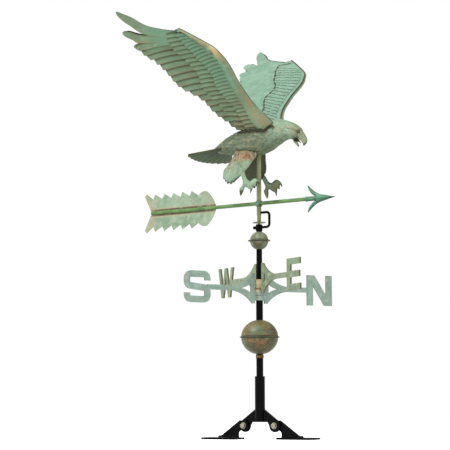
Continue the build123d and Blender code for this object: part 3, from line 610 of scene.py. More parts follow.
def on_wing(side):
    """A function that places wing-plane points: x forward, t outward, h up from the underside."""

    def place(x, t, h):
        h = h + camber(x) - SHOULDER_DEPTH * shoulder(x, t) * smooth(-h, 0.0, 3.0)
        y = t * math.cos(WING_RISE) - h * math.sin(WING_RISE)
        z = WING_BASE_Z + t * math.sin(WING_RISE) + h * math.cos(WING_RISE)
        return np.stack([x, side * y, z], -1)

    return place


def wing_normal(side, up):
    return up * np.array([0.0, -side * math.sin(WING_RISE), math.cos(WING_RISE)])


def edge_path(root, notch, middle, bow, steps):
    """One edge of a feather, from its root past the notch to the middle of its tip."""
    run = steps * 2 // 3
    s = np.linspace(0.0, 1.0, run, endpoint=False)[:, None]
    along = notch - root
    side = np.array([-along[1], along[0]])
    body = root + along * s + bow * side * (4 * s * (1 - s))
    ahead = along / np.linalg.norm(along)
    corner = notch + ahead * ((middle - notch) @ ahead)
    u = np.linspace(0.0, 1.0, steps - run)[:, None]
    return np.vstack([body, (1 - u) ** 2 * notch + 2 * u * (1 - u) * corner + u ** 2 * middle])


def feather(sculpt, place, outward, upper, lower, base, lift, tip_drop=0.06, across=11, tan=0.95,
            quill=0.7, groove=0.7, groove_width=0.45, tip_line=0.0, teal=(0.0, 0.0), sign=-1, free=None,
            notch=0.0, root_tan=0.0, shade=0.0):
    """One feather between two edges. Its lower edge is raised over the next feather.

    groove, tip_line, notch and shade paint shade on its upper edge, tip, notches and root. free is where
    its upper edge leaves the next feather, and paints shadow under it there. teal is a share, and how far it
    reaches from the root. root_tan is how much tan shows near the body, where it also paints shade.
    """
    steps = len(upper)
    s = np.linspace(0.0, 1.0, steps)[:, None]
    v = np.linspace(0.0, 1.0, across)[None, :]
    upper = upper + (upper - lower) * 0.08
    flat = upper[:, None] * (1 - v)[..., None] + lower[:, None] * v[..., None]
    length = np.linalg.norm(np.diff((upper + lower) / 2, axis=0), axis=1).sum()
    width = np.linalg.norm(upper - lower, axis=1)[:, None]
    slat = lift * (0.15 + 0.85 * v ** 1.5) * np.minimum(smooth(1 - v, -0.02, 0.10) + 0.25, 1.0)
    shaft = quill * hill(v, 0.45, 0.06) * (1 - 0.8 * s)
    tip = smooth(1 - s, 0.0, tip_drop)
    wave = 0.12 * np.sin(9.0 * s + 5.0 * v + random.uniform(0, 6))
    height = base + (slat + shaft + wave) * (0.2 + 0.8 * tip)
    height = np.where(v == 1.0, -0.3, height)
    height = np.where(s == 1.0, np.minimum(height, 0.0 if base < 1 else base - 3.2), height)
    # Painted shade in the groove under the next feather, at the lower edge, tip, notches, free edge and
    # root.
    cavity = groove * fall(v + 0 * s, 0.0, groove_width) + 0.25 * smooth(v + 0 * s, 0.85, 1.0)
    cavity = cavity * (0.7 + 0.3 * smooth(s, 0.0, 0.3)) + tip_line * smooth(s, 0.90, 0.97)
    cavity += notch * smooth(s, 0.84, 0.97) * (smooth(v, 0.72, 0.95) + 1 - smooth(v, 0.08, 0.3))
    if free is not None:
        bare = smooth(s, free - 0.08, free) * fall(s, 0.88, 1.0)
        cavity += fall(v, 0.04, 0.20) * bare
    cavity += shade * (1.3 - smooth(s, 0.1, 0.6))
    outboard = flat[..., 1]
    near = root_tan * fall(outboard, 16, 90)
    rub = tan * smooth(v + 0 * s, 0.4, 0.9) * random.uniform(0.4, 1.0) + near
    cavity += near * (0.35 + 0.4 * fall(outboard, 12, 26))
    greened = teal[0] * fall(s, teal[1], teal[1] + 0.25) * smooth(outboard, 90, 190)
    barb = 2 * np.pi * (s * length / 1.7 - np.abs(v - 0.45) * width / 1.3)
    sculpt.grid(place(flat[..., 0], outboard, sign * height), outward, cavity=cavity, tan=rub,
                barb=barb, teal=greened)


def feather_row(sculpt, place, outward, roots, notches, base, lift, steps, bulge=0.24, bow=0.03, **kind):
    """Feathers side by side, from matched root and notch points."""
    roots, notches = np.array(roots, float), np.array(notches, float)
    for k in range(len(notches) - 1):
        chord = notches[k + 1] - notches[k]
        middle = (notches[k] + notches[k + 1]) / 2 + bulge * np.array([chord[1], -chord[0]])
        upper = edge_path(roots[k], notches[k], middle, -bow, steps)
        lower = edge_path(roots[k + 1], notches[k + 1], middle, -bow, steps)
        feather(sculpt, place, outward, upper, lower, base, lift * random.uniform(0.85, 1.1), **kind)


PRIMARIES = (
    # upper edge, lower edge, each from the root to the tip
    (((-66, 356), (-82, 353), (-129, 367), (-172, 388), (-201, 421), (-236, 448)),
     ((-74, 330), (-130, 338), (-192, 361), (-219, 395), (-235, 421), (-236, 448))),
    (((-72, 336), (-130, 345), (-192, 361), (-212, 369), (-232, 381), (-256, 382)),
     ((-74, 322), (-140, 325), (-221, 335), (-238, 350), (-247, 361), (-256, 382))),
    (((-74, 324), (-140, 330), (-221, 335), (-232, 333), (-247, 326)),
     ((-74, 314), (-140, 314), (-222, 311), (-232, 313), (-247, 326))),
)


def leading_band(sculpt, place, outward):
    """The rolled front edge, thick at the shoulder and thin at the wrist."""
    rows = 150
    edge = curve(LEADING_EDGE, rows)
    along = np.gradient(edge, axis=0)
    along /= np.linalg.norm(along, axis=1)[:, None]
    inward = np.stack([-along[:, 1], along[:, 0]], -1)
    s = np.linspace(0.0, 1.0, rows)
    width = np.interp(s, (0, 0.05, 0.12, 0.35, 0.7, 0.9, 1.0), (36, 44, 44, 33, 30, 21, 8))
    bulk = np.interp(s, (0, 0.05, 0.12, 0.35, 0.7, 0.9, 1.0), (7, 9, 9, 7.5, 7.0, 4.5, 2.0))
    profile = curve(((0.10, -4.2, 0.0), (0.0, -3.4, 0.0), (-0.05, -1.4, 0.0), (-0.06, 0.0, 0.25),
                     (-0.02, 0.0, 0.62), (0.10, 0.0, 0.9), (0.25, 0.0, 1.0), (0.45, 0.0, 0.92),
                     (0.66, 1.0, 0.66), (0.85, 3.0, 0.30), (0.97, 3.6, 0.05), (1.06, 0.5, 0.0)), 26)
    inset, fixed, share = profile.T
    flat = edge[:, None] + inward[:, None] * (inset[None] * width[:, None])[..., None]
    dents = 0.35 * np.sin(flat[..., 1] * 0.21 + 1.3 * np.sin(flat[..., 1] * 0.083)) * share
    height = fixed[None] + share[None] * bulk[:, None] + dents
    x, t = flat[..., 0], flat[..., 1]
    # A painted gold highlight near the wrist.
    near_wrist = hill(x, 10, 11) * hill(t, 279, 25)
    nick = hill(x, -4, 5) * hill(t, 273, 9) + 0.8 * hill(x, 2, 4) * hill(t, 248, 8)
    cavity = 0.15 * smooth(inset, 0.9, 1.0)[None] + 0.3 * (fixed < -0.5)[None]
    worn = 0.9 - 0.5 * smooth(t, 110, 185) + 0.5 * smooth(t, 215, 275)
    worn -= 0.7 * smooth(inset, 0.2, 0.7)[None]
    greened = smooth(inset, 0.38, 0.62)[None] * (smooth(t, 120, 200) - 0.7 * smooth(t, 300, 335))
    sculpt.grid(place(x, t, -height), outward, cavity=cavity + 0.9 * nick, tan=np.clip(worn, 0, 1),
                gold=0.95 * near_wrist, teal=0.95 * greened)


def build_wing(name, side):
    place = on_wing(side)
    under, over = wing_normal(side, -1), wing_normal(side, 1)
    s = Sculpt()
    for (upper, lower), free in zip(PRIMARIES, (None, 0.62, 0.80)):
        feather(s, place, under, curve(upper, 44), curve(lower, 44), 0.4, 3.0, tip_drop=0.3,
                groove=0.55 if free else 0.0, free=free, teal=(0.45, 0.40), tan=1.6)
    feather_row(s, place, under, curve(FLIGHT_ROOTS, len(NOTCHES)), NOTCHES, 0.4, 2.6, 30, tip_drop=0.12,
                notch=0.8, teal=(0.2, 0.45), root_tan=0.3, shade=0.30)
    covert = {"bulge": 0.3, "groove_width": 0.7, "root_tan": 0.4}
    feather_row(s, place, under, curve(OUTER_ROOTS, OUTER_EDGES), curve(OUTER_TIPS, OUTER_EDGES), 3.0, 2.0,
                24, tip_line=0.28, groove=0.55, teal=(0.3, 0.45), shade=0.25, **covert)
    feather_row(s, place, under, curve(INNER_ROOTS, INNER_EDGES), curve(INNER_TIPS, INNER_EDGES), 5.0, 1.5,
                20, tip_line=0.25, groove=0.50, teal=(0.62, 0.6), shade=0.12, **covert)
    leading_band(s, place, under)
    # Painted shade and a dark joint line where the wing meets the body.
    for k, (points, cavity) in enumerate(zip(s.points, s.masks["cavity"])):
        wander = 1.2 * np.sin(points[:, 0] * 0.33) + 0.9 * np.sin(points[:, 0] * 0.81 + 1.0)
        joint = fall(gap_to_body(points) + wander, 1.5, 6.5)
        s.masks["cavity"][k] = np.maximum(cavity, joint * (points[:, 2] < JOINT_TOP_Z))
    s.build(name + "_feathers", "vane", "wing_verdigris")

    d = Sculpt()
    seam = curve(COVER_SEAM, COVER_EDGES)
    edge = curve([(x - 20.0, t) for x, t in LEADING_EDGE[:-2]], COVER_EDGES)[::-1]
    edge[0] = (-66.0, 340.0)
    lines = [seam + (edge - seam) * share for share in (0.02, 0.34, 0.67, 1.0)]
    for tips, roots, base in zip(lines, lines[1:], (0.1, 0.35, 0.6)):
        roots = roots + (roots - tips) * 0.25
        feather_row(d, place, over, roots, tips, SHEET + COVER + base, 0.9, 16, 0.34, 0.10, sign=1,
                    across=9, tan=0.0, quill=0.0, groove=1.0, groove_width=0.32, tip_line=0.9)
    d.build(name + "_cover_feathers", "vane", "wing_verdigris", material=MATERIALS["wing_back_verdigris"])


def bead(sculpt, line, radius, **masks):
    """A round bead of solder or wire along a line."""
    line = np.array(line, float)
    along = np.gradient(line, axis=0)
    along /= np.linalg.norm(along, axis=1)[:, None]
    across = np.cross(along, (0.31, 0.67, 0.67))
    across /= np.linalg.norm(across, axis=1)[:, None]
    up = np.cross(along, across)
    turn = turns(8)
    radius = np.broadcast_to(radius, (len(line),))
    ring = across[:, None] * np.cos(turn)[None, :, None] + up[:, None] * np.sin(turn)[None, :, None]
    sculpt.grid(line[:, None] + ring * radius[:, None, None], True, wrap=True, **masks)


def wing_seams(name, side):
    """Dark solder round the cover on the upper face, and along the front edge."""
    place = on_wing(side)
    s = Sculpt()
    x, t = curve(COVER_SEAM, 240).T
    swell = 2.1 + 1.2 * np.sin(t * 0.42) * np.sin(t * 0.15) + 0.4 * random.random(len(t))
    bead(s, place(x, t, SHEET + 0.9), swell, cavity=1.0)
    x, t = curve(LEADING_EDGE, 200).T
    bead(s, place(x - 0.8, t, SHEET + COVER + 0.6), 1.5, cavity=0.95)
    x, t = curve(PRIMARIES[0][0][1:], 120).T
    bead(s, place(x, t - 0.3, SHEET / 2), np.linspace(1.9, 1.1, len(t)), cavity=0.9)
    s.build(name + "_seams", "vane", "wing_verdigris", material=MATERIALS["wing_back_verdigris"])


for name, side in (("left_wing", 1), ("right_wing", -1)):
    build_wing(name, side)
    wing_seams(name, side)


# -------------------- body

FEATHER_COLUMNS = 32
BODY_ROWS, BODY_SIDES = 460, 240
FEATHER_HALF, NO_FEATHER = 0.66, -9.0       # half a feather's width, and a height below them all


def scales(u, w):
    """Height and shadow of overlapping round feathers. u counts rows forward, w counts columns."""
    best = np.full(u.shape, NO_FEATHER)
    shade = np.zeros(u.shape)
    barb = np.zeros(u.shape)
    for back in (0, 1):
        row = np.floor(u) - back
        for step in (-1, 0, 1):
            shift = 0.5 * np.mod(row, 2)
            column = np.round(w - shift) + step + shift
            stray = np.sin(row * 37.1 + column * 91.7)
            a, b = u - row - 0.30 * stray, w - column - 0.20 * np.sin(row * 57.3 - column * 23.9)
            across = (b / FEATHER_HALF) ** 2
            inside = np.abs(b) < FEATHER_HALF
            tip = 0.7 * (1 - np.sqrt(np.clip(1 - across, 0, 1)))
            depth = a - tip
            lean = 0.22 * np.sin(row * 12.9 + column * 7.7)
            height = 1.0 - 0.62 * depth + lean - 0.25 * across + 0.12 * hill(b, 0.0, 0.08)
            height = np.where(inside & (depth > 0) & (depth < 1.7), height, NO_FEATHER)
            wins = height > best
            best = np.where(wins, height, best)
            shade = np.where(wins, smooth(depth, 0.55, 1.1), shade)
            barb = np.where(wins, 2 * np.pi * (a * 3.0 - np.abs(b) * 5.0), barb)
    bare = best == NO_FEATHER
    return np.where(bare, 0.0, best), np.where(bare, 1.0, shade), barb


def spot(points, centre, radius):
    """1 at a point and fading out round it. The distance is measured on both sides of the body."""
    folded = points.copy()
    folded[..., 1] = np.abs(folded[..., 1])
    return hill(folded, centre, radius).prod(-1)


def build_body():
    section = curve(BODY, BODY_ROWS, fine=40)
    turn = turns(BODY_SIDES)
    top = np.stack([section[:, 0], section[:, 1]], -1)
    bottom = np.stack([section[:, 2], section[:, 3]], -1)
    middle, half, half_width = (top + bottom) / 2, (top - bottom) / 2, section[:, 4]
    head = smooth(middle[:, 0], 96, 120)
    travel = np.arange(BODY_ROWS) / BODY_ROWS
    beak = smooth(travel, 0.842, 0.875)
    s_up = np.sin(turn)
    lift = np.sign(s_up) * np.abs(s_up) ** 0.92
    points = np.zeros((BODY_ROWS, BODY_SIDES, 3))
    points[..., 0] = middle[:, :1] + half[:, :1] * lift
    points[..., 2] = middle[:, 1:] + half[:, 1:] * lift
    narrow = 1.0 - (0.16 * head * (1 - beak))[:, None] * (lift[None] > 0) * np.abs(lift[None]) ** 2
    points[..., 1] = half_width[:, None] * np.cos(turn)[None] * narrow

    along = np.gradient(points, axis=0)
    around = np.roll(points, -1, 1) - np.roll(points, 1, 1)
    normal = np.cross(along, around)
    normal /= np.maximum(np.linalg.norm(normal, axis=2), 1e-6)[..., None]
    centre = np.stack([middle[:, 0], np.zeros(BODY_ROWS), middle[:, 1]], -1)[:, None]
    if (normal * (points - centre)).sum() < 0:
        normal = -normal

    travelled = np.append(0.0, np.cumsum(np.linalg.norm(np.diff(middle, axis=0), axis=1)))
    row_length = 14.0 - 6.5 * head
    u = np.append(0.0, np.cumsum(np.diff(travelled) / row_length[1:]))[:, None] + 0 * turn
    w = turn[None] / (2 * np.pi) * FEATHER_COLUMNS + 0.25 + 0 * u
    height, shade, barb = scales(u + 0.3 * np.sin(3 * turn + 1)[None] + 0.12 * np.sin(11 * turn)[None], w)
    feathered = (1 - beak)[:, None] * (1.7 - 1.1 * head)[:, None]
    uneven = 0.65 + 0.35 * np.sin(1.7 * u + 0.9 * w) * np.sin(0.6 * u - 1.3 * w)
    streak = np.sin(0.5 * barb + 2.0 * np.sin(1.9 * u + 0.7 * w))
    relief = feathered * uneven * (height - 0.75 + 0.22 * streak)
    brow = spot(points, (139.0, 11.5, 840.4), (11.0, 5.0, 2.6))
    socket = spot(points, (142.5, 12.5, 834.8), (5.0, 6.0, 3.2))
    cheek = spot(points, (127.0, 15.0, 829.0), (9.0, 8.0, 6.0))
    nostril = spot(points, (151.0, 7.5, 828.5), (2.4, 4.0, 1.4))
    cere = hill(travel, 0.868, 0.006)[:, None]
    face = spot(points, (142.0, 9.0, 836.0), (13.0, 14.0, 11.0))
    mouth = spot(points, (131.0, 12.0, 818.5), (11.0, 9.0, 4.0))
    # A rubbed line runs down from the crown to the brow, with a dark one under it.
    above_line = points[..., 2] - (851.0 - 0.26 * (points[..., 0] - 112.0))
    streaked = smooth(points[..., 0], 104, 112) * fall(points[..., 0], 136, 144)
    rubbed_line = hill(above_line, 0.0, 2.6) * streaked
    under_line = hill(above_line, -4.5, 1.8) * streaked
    beak_tip = smooth(travel, 0.955, 0.99)[:, None]
    relief = relief * (1 - 0.8 * face) + 2.4 * brow - 2.6 * socket + 1.3 * cheek - 1.3 * nostril - 0.5 * cere
    points = points + normal * relief[..., None]

    x, y, z = points[..., 0], np.abs(points[..., 1]), points[..., 2]
    over_wing = (z - WING_BASE_Z) * math.cos(WING_RISE) - y * math.sin(WING_RISE)
    root_line = camber(x) - 10.0 - SHOULDER_DEPTH * shoulder(x, 14.0)
    near_root = hill(over_wing, root_line, 4.5) * smooth(x, -86, -66) * fall(x, 66, 74)
    # belly is painted shade on the body's underside, where it faces down.
    belly = smooth(-normal[..., 2], 0.2, 0.8)
    back = smooth(normal[..., 2], 0.3, 0.9) * fall(x, -60, 20)
    crown = spot(points, (111.0, 15.0, 852.5), (7.0, 14.0, 3.6))
    neck = spot(points, (84.0, 24.0, 846.0), (8.0, 14.0, 6.0))
    rubbed = 1.6 * crown + 1.2 * brow + 1.8 * rubbed_line + 1.3 * neck + 0.6 * back
    rubbed += 0.5 * fall(x, -120, -95) + 0.2 * beak[:, None]
    shade += 0.45 * smooth(-streak, 0.1, 0.9)
    # Painted shade under overlapping feathers, along the wing's joint, in the eye socket, nostril, cere and
    # open mouth and on the belly, with dark marks on the crown, under the rubbed line and at the beak's tip.
    cavity = 0.30 * shade * uneven * (1 - beak)[:, None] * (1 - 0.6 * head)[:, None] + near_root
    cavity += 0.8 * socket + nostril + 0.45 * cere + 0.22 * belly * (1 - head)[:, None]
    cavity += 0.9 * mouth + 0.25 * crown * (0.5 + 0.5 * streak)
    cavity += 0.45 * under_line + 0.7 * beak_tip
    s = Sculpt()
    s.grid(points, True, wrap=True, cavity=cavity, tan=rubbed,
           copper=np.clip(0.8 * crown + 0.45 * rubbed_line, 0, 1), barb=barb * (1 - beak)[:, None])
    cap = np.array([(k, (k + 1) % BODY_SIDES, BODY_SIDES) for k in range(BODY_SIDES)])
    for row, faces in ((points[0], cap), (points[-1], cap[:, ::-1])):
        s.add(np.vstack([row, row.mean(0)]), faces, tan=0.5)
    s.build("eagle_body", "vane", "eagle_body_verdigris", ("eagle_body_left", "eagle_body_right"))


LOWER_BEAK = ((106, 828), (115, 817), (122, 807.5), (129, 800), (136, 795.5), (136.5, 800),
              (132.5, 808), (128, 814), (122, 820), (114, 828))
TONGUE = ((119, 822), (130, 820), (136.5, 815.5), (140, 810.5), (145.5, 804), (141, 806),
          (133, 809.5), (124, 813.5))
EYE_R, EYE_X, EYE_Y, EYE_Z = 2.7, 141.8, 10.6, 834.9


def beak_masks(x, z, d):
    """Dark at the rims, in the shade of the open beak and at the lower beak's tip."""
    mouth = smooth(z, 808, 812) * smooth(x, 120, 126) * fall(x, 137, 142)
    tip = smooth(x, 131, 135) * fall(z, 797, 803)
    return {"tan": 0.35, "cavity": 0.55 * np.exp(-d / 0.8) + mouth + 0.7 * tip}


def build_beak():
    s = Sculpt()
    for outline, half, step in ((LOWER_BEAK, 6.2, 0.9), (TONGUE, 2.6, 0.7)):
        def level(x, z, d):
            taper = np.interp(x, (108, 122, 137), (1.55, 1.0, 0.4))
            return half * taper * dome(d, 4.5)

        pressed(s, dense(outline, 1.2), step, lambda x, z, d: -level(x, z, d), level,
                lambda x, z, depth: np.stack([x, depth, z], -1), beak_masks)
    s.build("lower_beak_and_tongue", "vane", "eagle_body_verdigris", ("lower_beak",))

    eyes = Sculpt()
    turn, up = turns(24), np.linspace(-np.pi / 2, np.pi / 2, 14)[:, None]
    ball = np.stack([np.cos(up) * np.cos(turn), np.cos(up) * np.sin(turn), np.sin(up) + 0 * turn], -1)
    for side in (-1, 1):
        eyes.grid(EYE_R * ball + (EYE_X, side * EYE_Y, EYE_Z), wrap=True)
    eyes.build("eyeballs", "vane", "eagle_body_verdigris", ("eyes",), MATERIALS["eye"])


build_body()
build_beak()


# -------------------- tail and legs

TAIL_APEX = (-86.0, 820.0)
TAIL_SLOPE = math.radians(18.0)
TAIL_ROOT_R, TAIL_R, TAIL_MIDDLE_R, NOTCH_DEPTH = 22.0, 138.0, 119.0, 4.0
TAIL_HALF_ANGLE, TAIL_FEATHERS = math.radians(47.5), 9


def on_tail(x, y, h):
    return np.stack([TAIL_APEX[0] + x * math.cos(TAIL_SLOPE) - h * math.sin(TAIL_SLOPE), y,
                     TAIL_APEX[1] + x * math.sin(TAIL_SLOPE) + h * math.cos(TAIL_SLOPE)], -1)


def build_tail():
    s = Sculpt()
    offsets = np.linspace(-TAIL_HALF_ANGLE, TAIL_HALF_ANGLE, TAIL_FEATHERS + 1)

    def spoke(offset, radius):
        return radius * np.array([np.cos(np.pi + offset), np.sin(np.pi + offset)])

    def rim(offset, inset):
        longer = (TAIL_R - TAIL_MIDDLE_R) * (offset / TAIL_HALF_ANGLE) ** 2
        return spoke(offset, TAIL_MIDDLE_R + longer - inset)

    up = np.array([-math.sin(TAIL_SLOPE), 0.0, math.cos(TAIL_SLOPE)])
    for sign in (1, -1):
        for first, second in zip(offsets, offsets[1:]):
            middle = rim((first + second) / 2, 0.0)
            upper = edge_path(spoke(first, TAIL_ROOT_R), rim(first, NOTCH_DEPTH), middle, 0.0, 34)
            lower = edge_path(spoke(second, TAIL_ROOT_R), rim(second, NOTCH_DEPTH), middle, 0.0, 34)
            outermost = smooth(abs(first + second) / 2 / TAIL_HALF_ANGLE, 0.6, 0.85)
            # On the underside, shade paints shade over the feathers, strongest near the body.
            tan, groove, shade = (1.6, 0.7, 0.0) if sign > 0 else (1.4 * outermost, 0.15, 0.35)
            feather(s, on_tail, sign * up, upper, lower, 0.9, 0.9, tip_drop=0.10, across=13, tan=tan,
                    quill=0.2, groove=groove, sign=sign, notch=0.8, shade=shade)
    s.build("tail_feathers", "vane", "tail_verdigris", ("tail_fan",))


build_tail()

LEG_TOP = (28.0, 790.0)
LEG_SPLAY = math.atan(0.31)
THIGH = ((-59, 800), (-20, 798), (8, 793), (4, 772), (-6, 745), (-19, 731), (-33, 718), (-42, 711),
         (-46, 706), (-50, 708), (-56, 702), (-62, 707), (-68, 704), (-72, 711), (-78, 712), (-80, 719),
         (-87, 722), (-89, 742), (-81, 755), (-69, 772))
FOOT = ((-26, 727), (-15, 734), (-6, 717), (4, 712), (14, 717), (24, 719.5), (33, 714), (38, 706),
        (37, 697), (32, 705), (27, 692), (21, 695), (13.5, 675.5), (10, 685), (3, 689), (-6, 695),
        (-11, 693), (-13, 682), (-19, 670.5), (-25, 681), (-26.5, 692), (-19, 703))
RIGHT_FOOT_REACH = (7.0, -6.0)      # further forward and lower than the left foot
THIGH_ROUNDING, FOOT_ROUNDING = 17.0, 7.5
THIGH_TOP_Z, THIGH_ROW, THIGH_COLUMN = 800.0, 9.5, 5.0


def on_leg(side):
    """Places points of a leg's sheet: x, z down the sheet, and depth outward from it."""
    lean = math.cos(LEG_SPLAY)

    def place(x, z, depth):
        down = (z - LEG_TOP[1]) / lean
        y = LEG_TOP[0] - down * math.sin(LEG_SPLAY) + depth * math.cos(LEG_SPLAY)
        height = LEG_TOP[1] + down * math.cos(LEG_SPLAY) + depth * math.sin(LEG_SPLAY)
        return np.stack([x, side * y, height], -1)

    return place


def build_leg(name, side):
    place = on_leg(side)
    turn = 1 if side < 0 else -1
    thigh_ring = dense(THIGH, 2.0)
    foot_ring = dense(FOOT, 1.5)
    if side < 0:
        foot_ring += smooth(-foot_ring[:, 1:], -733, -708) * RIGHT_FOOT_REACH
        foot_ring[:, 1] -= 5.0 * smooth(foot_ring[:, 0], 4, 20) * smooth(foot_ring[:, 1], 696, 710)

    def wrap(x, z):
        """The front edge turns in towards the belly."""
        return -11.0 * smooth(x, -28, 14) * smooth(z, 738, 785)

    def plumage(x, z):
        from_top = THIGH_TOP_Z - z
        down = from_top / THIGH_ROW - 0.05 * x
        return scales(40.0 - down, (x + 0.55 * from_top) / THIGH_COLUMN)

    def thigh_out(x, z, d):
        relief = 1.3 * plumage(x, z)[0] * smooth(d, 0.0, 3.0)
        return wrap(x, z) + 1.5 + 7.0 * dome(d, THIGH_ROUNDING) + relief

    def thigh_in(x, z, d):
        return wrap(x, z) - 0.2 + 5.6 * dome(d, THIGH_ROUNDING)

    def thigh_masks(x, z, d):
        _, shade, barb = plumage(x, z)
        upper = smooth(z, 745, 775)
        patch = 1.9 * hill(x, -20, 18) * hill(z, 779, 8.5)
        rim = np.exp(-d / 2.0)
        # Painted shade where the thigh lies against the belly.
        against_belly = fall(gap_to_body(place(x, z, thigh_out(x, z, d))), 1.0, 5.0)
        dark = 0.34 * shade * (0.4 + 0.6 * upper) + 0.9 * rim * smooth(-z, -728, -710) + against_belly
        return {"cavity": dark, "tan": 0.1 + 1.3 * upper, "copper": patch, "barb": barb}

    # Painted shade on the thigh's inner face, darkest at its rim.
    def inner_masks(x, z, d):
        return {"cavity": 0.72 + 0.28 * np.exp(-d / 2.5), "tan": 1.6}

    # Painted shade on the foot's inner face, darkest at its rim.
    def sole_masks(x, z, d):
        return {"cavity": 0.32 + 0.65 * np.exp(-d / 1.6), "tan": 0.9}

    def foot_out(x, z, d):
        claw = 1 - 0.35 * smooth(-z, -690, -676)
        return 2.4 + 5.2 * claw * dome(d, FOOT_ROUNDING)

    def foot_in(x, z, d):
        return 2.0 - 1.6 * dome(d, FOOT_ROUNDING)

    def foot_masks(x, z, d):
        rings = 0.5 + 0.5 * np.sin((x * 0.35 - z) * 1.05)
        tips = smooth(-z, -684, -675) + smooth(x, 34, 37) * smooth(-z, -704, -698)
        rings = rings * smooth(d, 0.4, 2.0) * (z < 700)
        return {"cavity": 0.16 * rings + 0.8 * tips, "tan": 0.35 * smooth(-z, -712, -690)}

    leg = Sculpt()
    pressed(leg, thigh_ring[::turn], 2.0, thigh_out, thigh_in, place, thigh_masks, inner_masks)
    pressed(leg, foot_ring[::turn], 1.2, foot_out, foot_in, place, foot_masks, sole_masks)
    leg.build(name + "_leg", "vane", "leg_verdigris", (name + "_thigh", name + "_talons"))


build_leg("left", 1)
build_leg("right", -1)


# -------------------- arrow and globes

ARROW_Z = FIN_SEAM_Z / MM
BARB = ((251.5, 0.6), (236.0, 3.6), (221.0, 7.0), (202.0, 11.3), (187.0, 18.8), (175.6, 27.5), (166.3, 35.8),
        (164.0, 34.8), (168.3, 24.5), (174.0, 16.5), (182.0, 9.5), (190.0, 5.6))


def build_arrow_head():
    """A cast head whose two barbs are ridged along their middles, on a turned socket."""
    upper = curve(BARB, 90)
    ring = np.vstack([upper, upper[::-1] * (1.0, -1.0)])

    def ridge(x, z, d):
        return 0.7 + 4.4 * np.clip(d / 5.2, 0, 1) ** 0.85 + 1.2 * smooth(4.0 - np.abs(z), 0, 4)

    # Painted shade along the head's rims and in the crotch between the barbs, with teal inside the rims.
    def worn(x, z, d):
        crotch = smooth(-x, -192, -170) * hill(np.abs(z), 12, 7) * (d < 2.2)
        return {"cavity": 0.35 * np.exp(-d / 0.9) + 0.55 * crotch, "teal": 0.3 * smooth(d, 1.5, 4.0)}

    s = Sculpt()
    pressed(s, ring, 1.1, lambda x, z, d: -ridge(x, z, d), ridge,
            lambda x, z, depth: np.stack([x, depth, ARROW_Z + z], -1), worn)
    socket = np.array(((157.6, 5.4), (157.6, 6.3), (158.4, 7.0), (161.5, 7.0), (162.3, 6.4), (186.0, 6.3),
                       (200.0, 5.4), (214.0, 3.6), (222.0, 1.0)))
    x, radius = socket[:, :1], socket[:, 1:]
    turn = turns(40)
    points = np.stack([x + 0 * turn, radius * np.cos(turn), ARROW_Z + radius * np.sin(turn)], -1)
    s.grid(points, True, wrap=True)
    s.build("ridged_arrow_head", "vane", "arrow_teal", ("arrow_head",))


def circle(radius, z):
    turn = np.linspace(0, 2 * np.pi, 120)
    return np.stack([radius * np.cos(turn), radius * np.sin(turn), z + 0 * turn], -1)


RIM_OVERHANG = {"large": 3.5, "small": 5.0}


def build_globe_seams():
    """Painted shadow lines where each globe's rolled rims meet its halves, and the rolled edge itself."""
    for size, overhang in RIM_OVERHANG.items():
        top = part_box(size + "_globe_lower")[1]
        rim, z = top.x / MM, top.z / MM
        ball = rim - overhang
        s = Sculpt()
        # Thin dark beads just above and below the rim are painted shadow along the seam.
        for level in (-1.9, 1.9):
            bead(s, circle(ball - 0.2, z + level), 1.1, cavity=0.9)
        bead(s, circle(rim - 0.9, z), 1.5, cavity=0.45, teal=0.6)
        s.build(size + "_globe_seam", "mast_and_bracket", "globe_copper")


build_arrow_head()
build_globe_seams()


# -------------------- frame pieces' finish

record = frame["record"]
SLOT_OF = {entry["node"]: entry["material_slot"] for entry in record["subparts"]}
BODY_OF = {node: body for body, members in record["behaviour"]["bodies"].items() for node in members}
WING_SHEETS = ("left_wing", "right_wing", "left_wing_cover", "right_wing_cover")
for node, piece in nodes.items():
    piece.data.materials.clear()
    piece.data.materials.append(MATERIALS["wing_back_verdigris" if node in WING_SHEETS else SLOT_OF[node]])

EDGE_ROUNDING = {
    "north_south_casting": 0.9, "east_west_casting": 0.9, "gusset_plate": 0.6, "left_roof_foot": 0.6,
    "right_roof_foot": 0.6, "hook_collar": 0.7, "globe_stop_collar": 0.7, "arrow_collar": 0.6,
    "foot_bolts": 0.4, "foot_nuts": 0.4, "socket_tube": 0.5, "hold_down_hook": 0.3,
}
for node, width in EDGE_ROUNDING.items():
    bevelled(node, BODY_OF[node], width, SLOT_OF[node])


# -------------------- camera and light

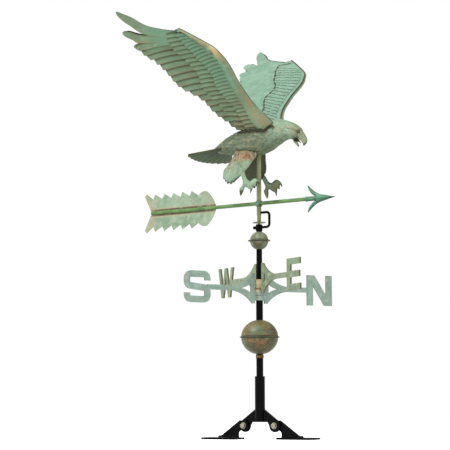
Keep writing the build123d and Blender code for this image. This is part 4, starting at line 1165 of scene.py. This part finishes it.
def softbox(name, place, target, size, power):
    data = bpy.data.lights.new(name, "AREA")
    data.shape = "RECTANGLE"
    data.size, data.size_y = size
    data.energy = power
    lamp = placed(name, data)
    lamp.location = place
    lamp.rotation_euler = (Vector(target) - lamp.location).to_track_quat("-Z", "Y").to_euler()


scene.view_settings.view_transform = "Standard"

# The camera stands low, away from the mast, and looks slightly up and to its own left.
CAMERA_TURN, CAMERA_AWAY, CAMERA_HEIGHT = math.radians(35.99), 4.566, 0.0958
CAMERA_PITCH, CAMERA_YAW, CAMERA_ROLL = 0.1078, 0.0207, -0.0028
camera_data = bpy.data.cameras.new("camera")
camera_data.sensor_width, camera_data.lens = 36.0, 132.5
camera = placed("camera", camera_data)
scene.camera = camera
camera.matrix_world = (
    Matrix.Translation((CAMERA_AWAY * math.sin(CAMERA_TURN), -CAMERA_AWAY * math.cos(CAMERA_TURN),
                        CAMERA_HEIGHT))
    @ Matrix.Rotation(CAMERA_TURN + CAMERA_YAW, 4, "Z")
    @ Matrix.Rotation(math.pi / 2 + CAMERA_PITCH, 4, "X")
    @ Matrix.Rotation(CAMERA_ROLL, 4, "Z"))

FLOOR_REACH, FLOOR_DROP = 30.0, 0.0006
floor_mesh = bpy.data.meshes.new("floor")
corners = [(x * FLOOR_REACH, y * FLOOR_REACH, 0.0) for x, y in ((-1, -1), (1, -1), (1, 1), (-1, 1))]
floor_mesh.from_pydata(corners, [], [(0, 1, 2, 3)])
floor_mesh.materials.append(Shader("studio_floor").finish((1.0, 1.0, 1.0, 1.0), 0.0, 0.9, specular=0.0))
floor = placed("floor", floor_mesh)
floor.location.z = -FLOOR_DROP

world = bpy.data.worlds.new("studio")
world.use_nodes = True
world.node_tree.nodes["Background"].inputs["Color"].default_value = (1.0, 1.0, 1.0, 1.0)
world.node_tree.nodes["Background"].inputs["Strength"].default_value = 1.0
scene.world = world
softbox("key", (-0.9, -2.4, 3.6), (0, 0, 0.7), (1.6, 1.6), 300)
softbox("side", (3.2, 0.4, 2.0), (0, 0, 0.6), (1.2, 2.0), 40)
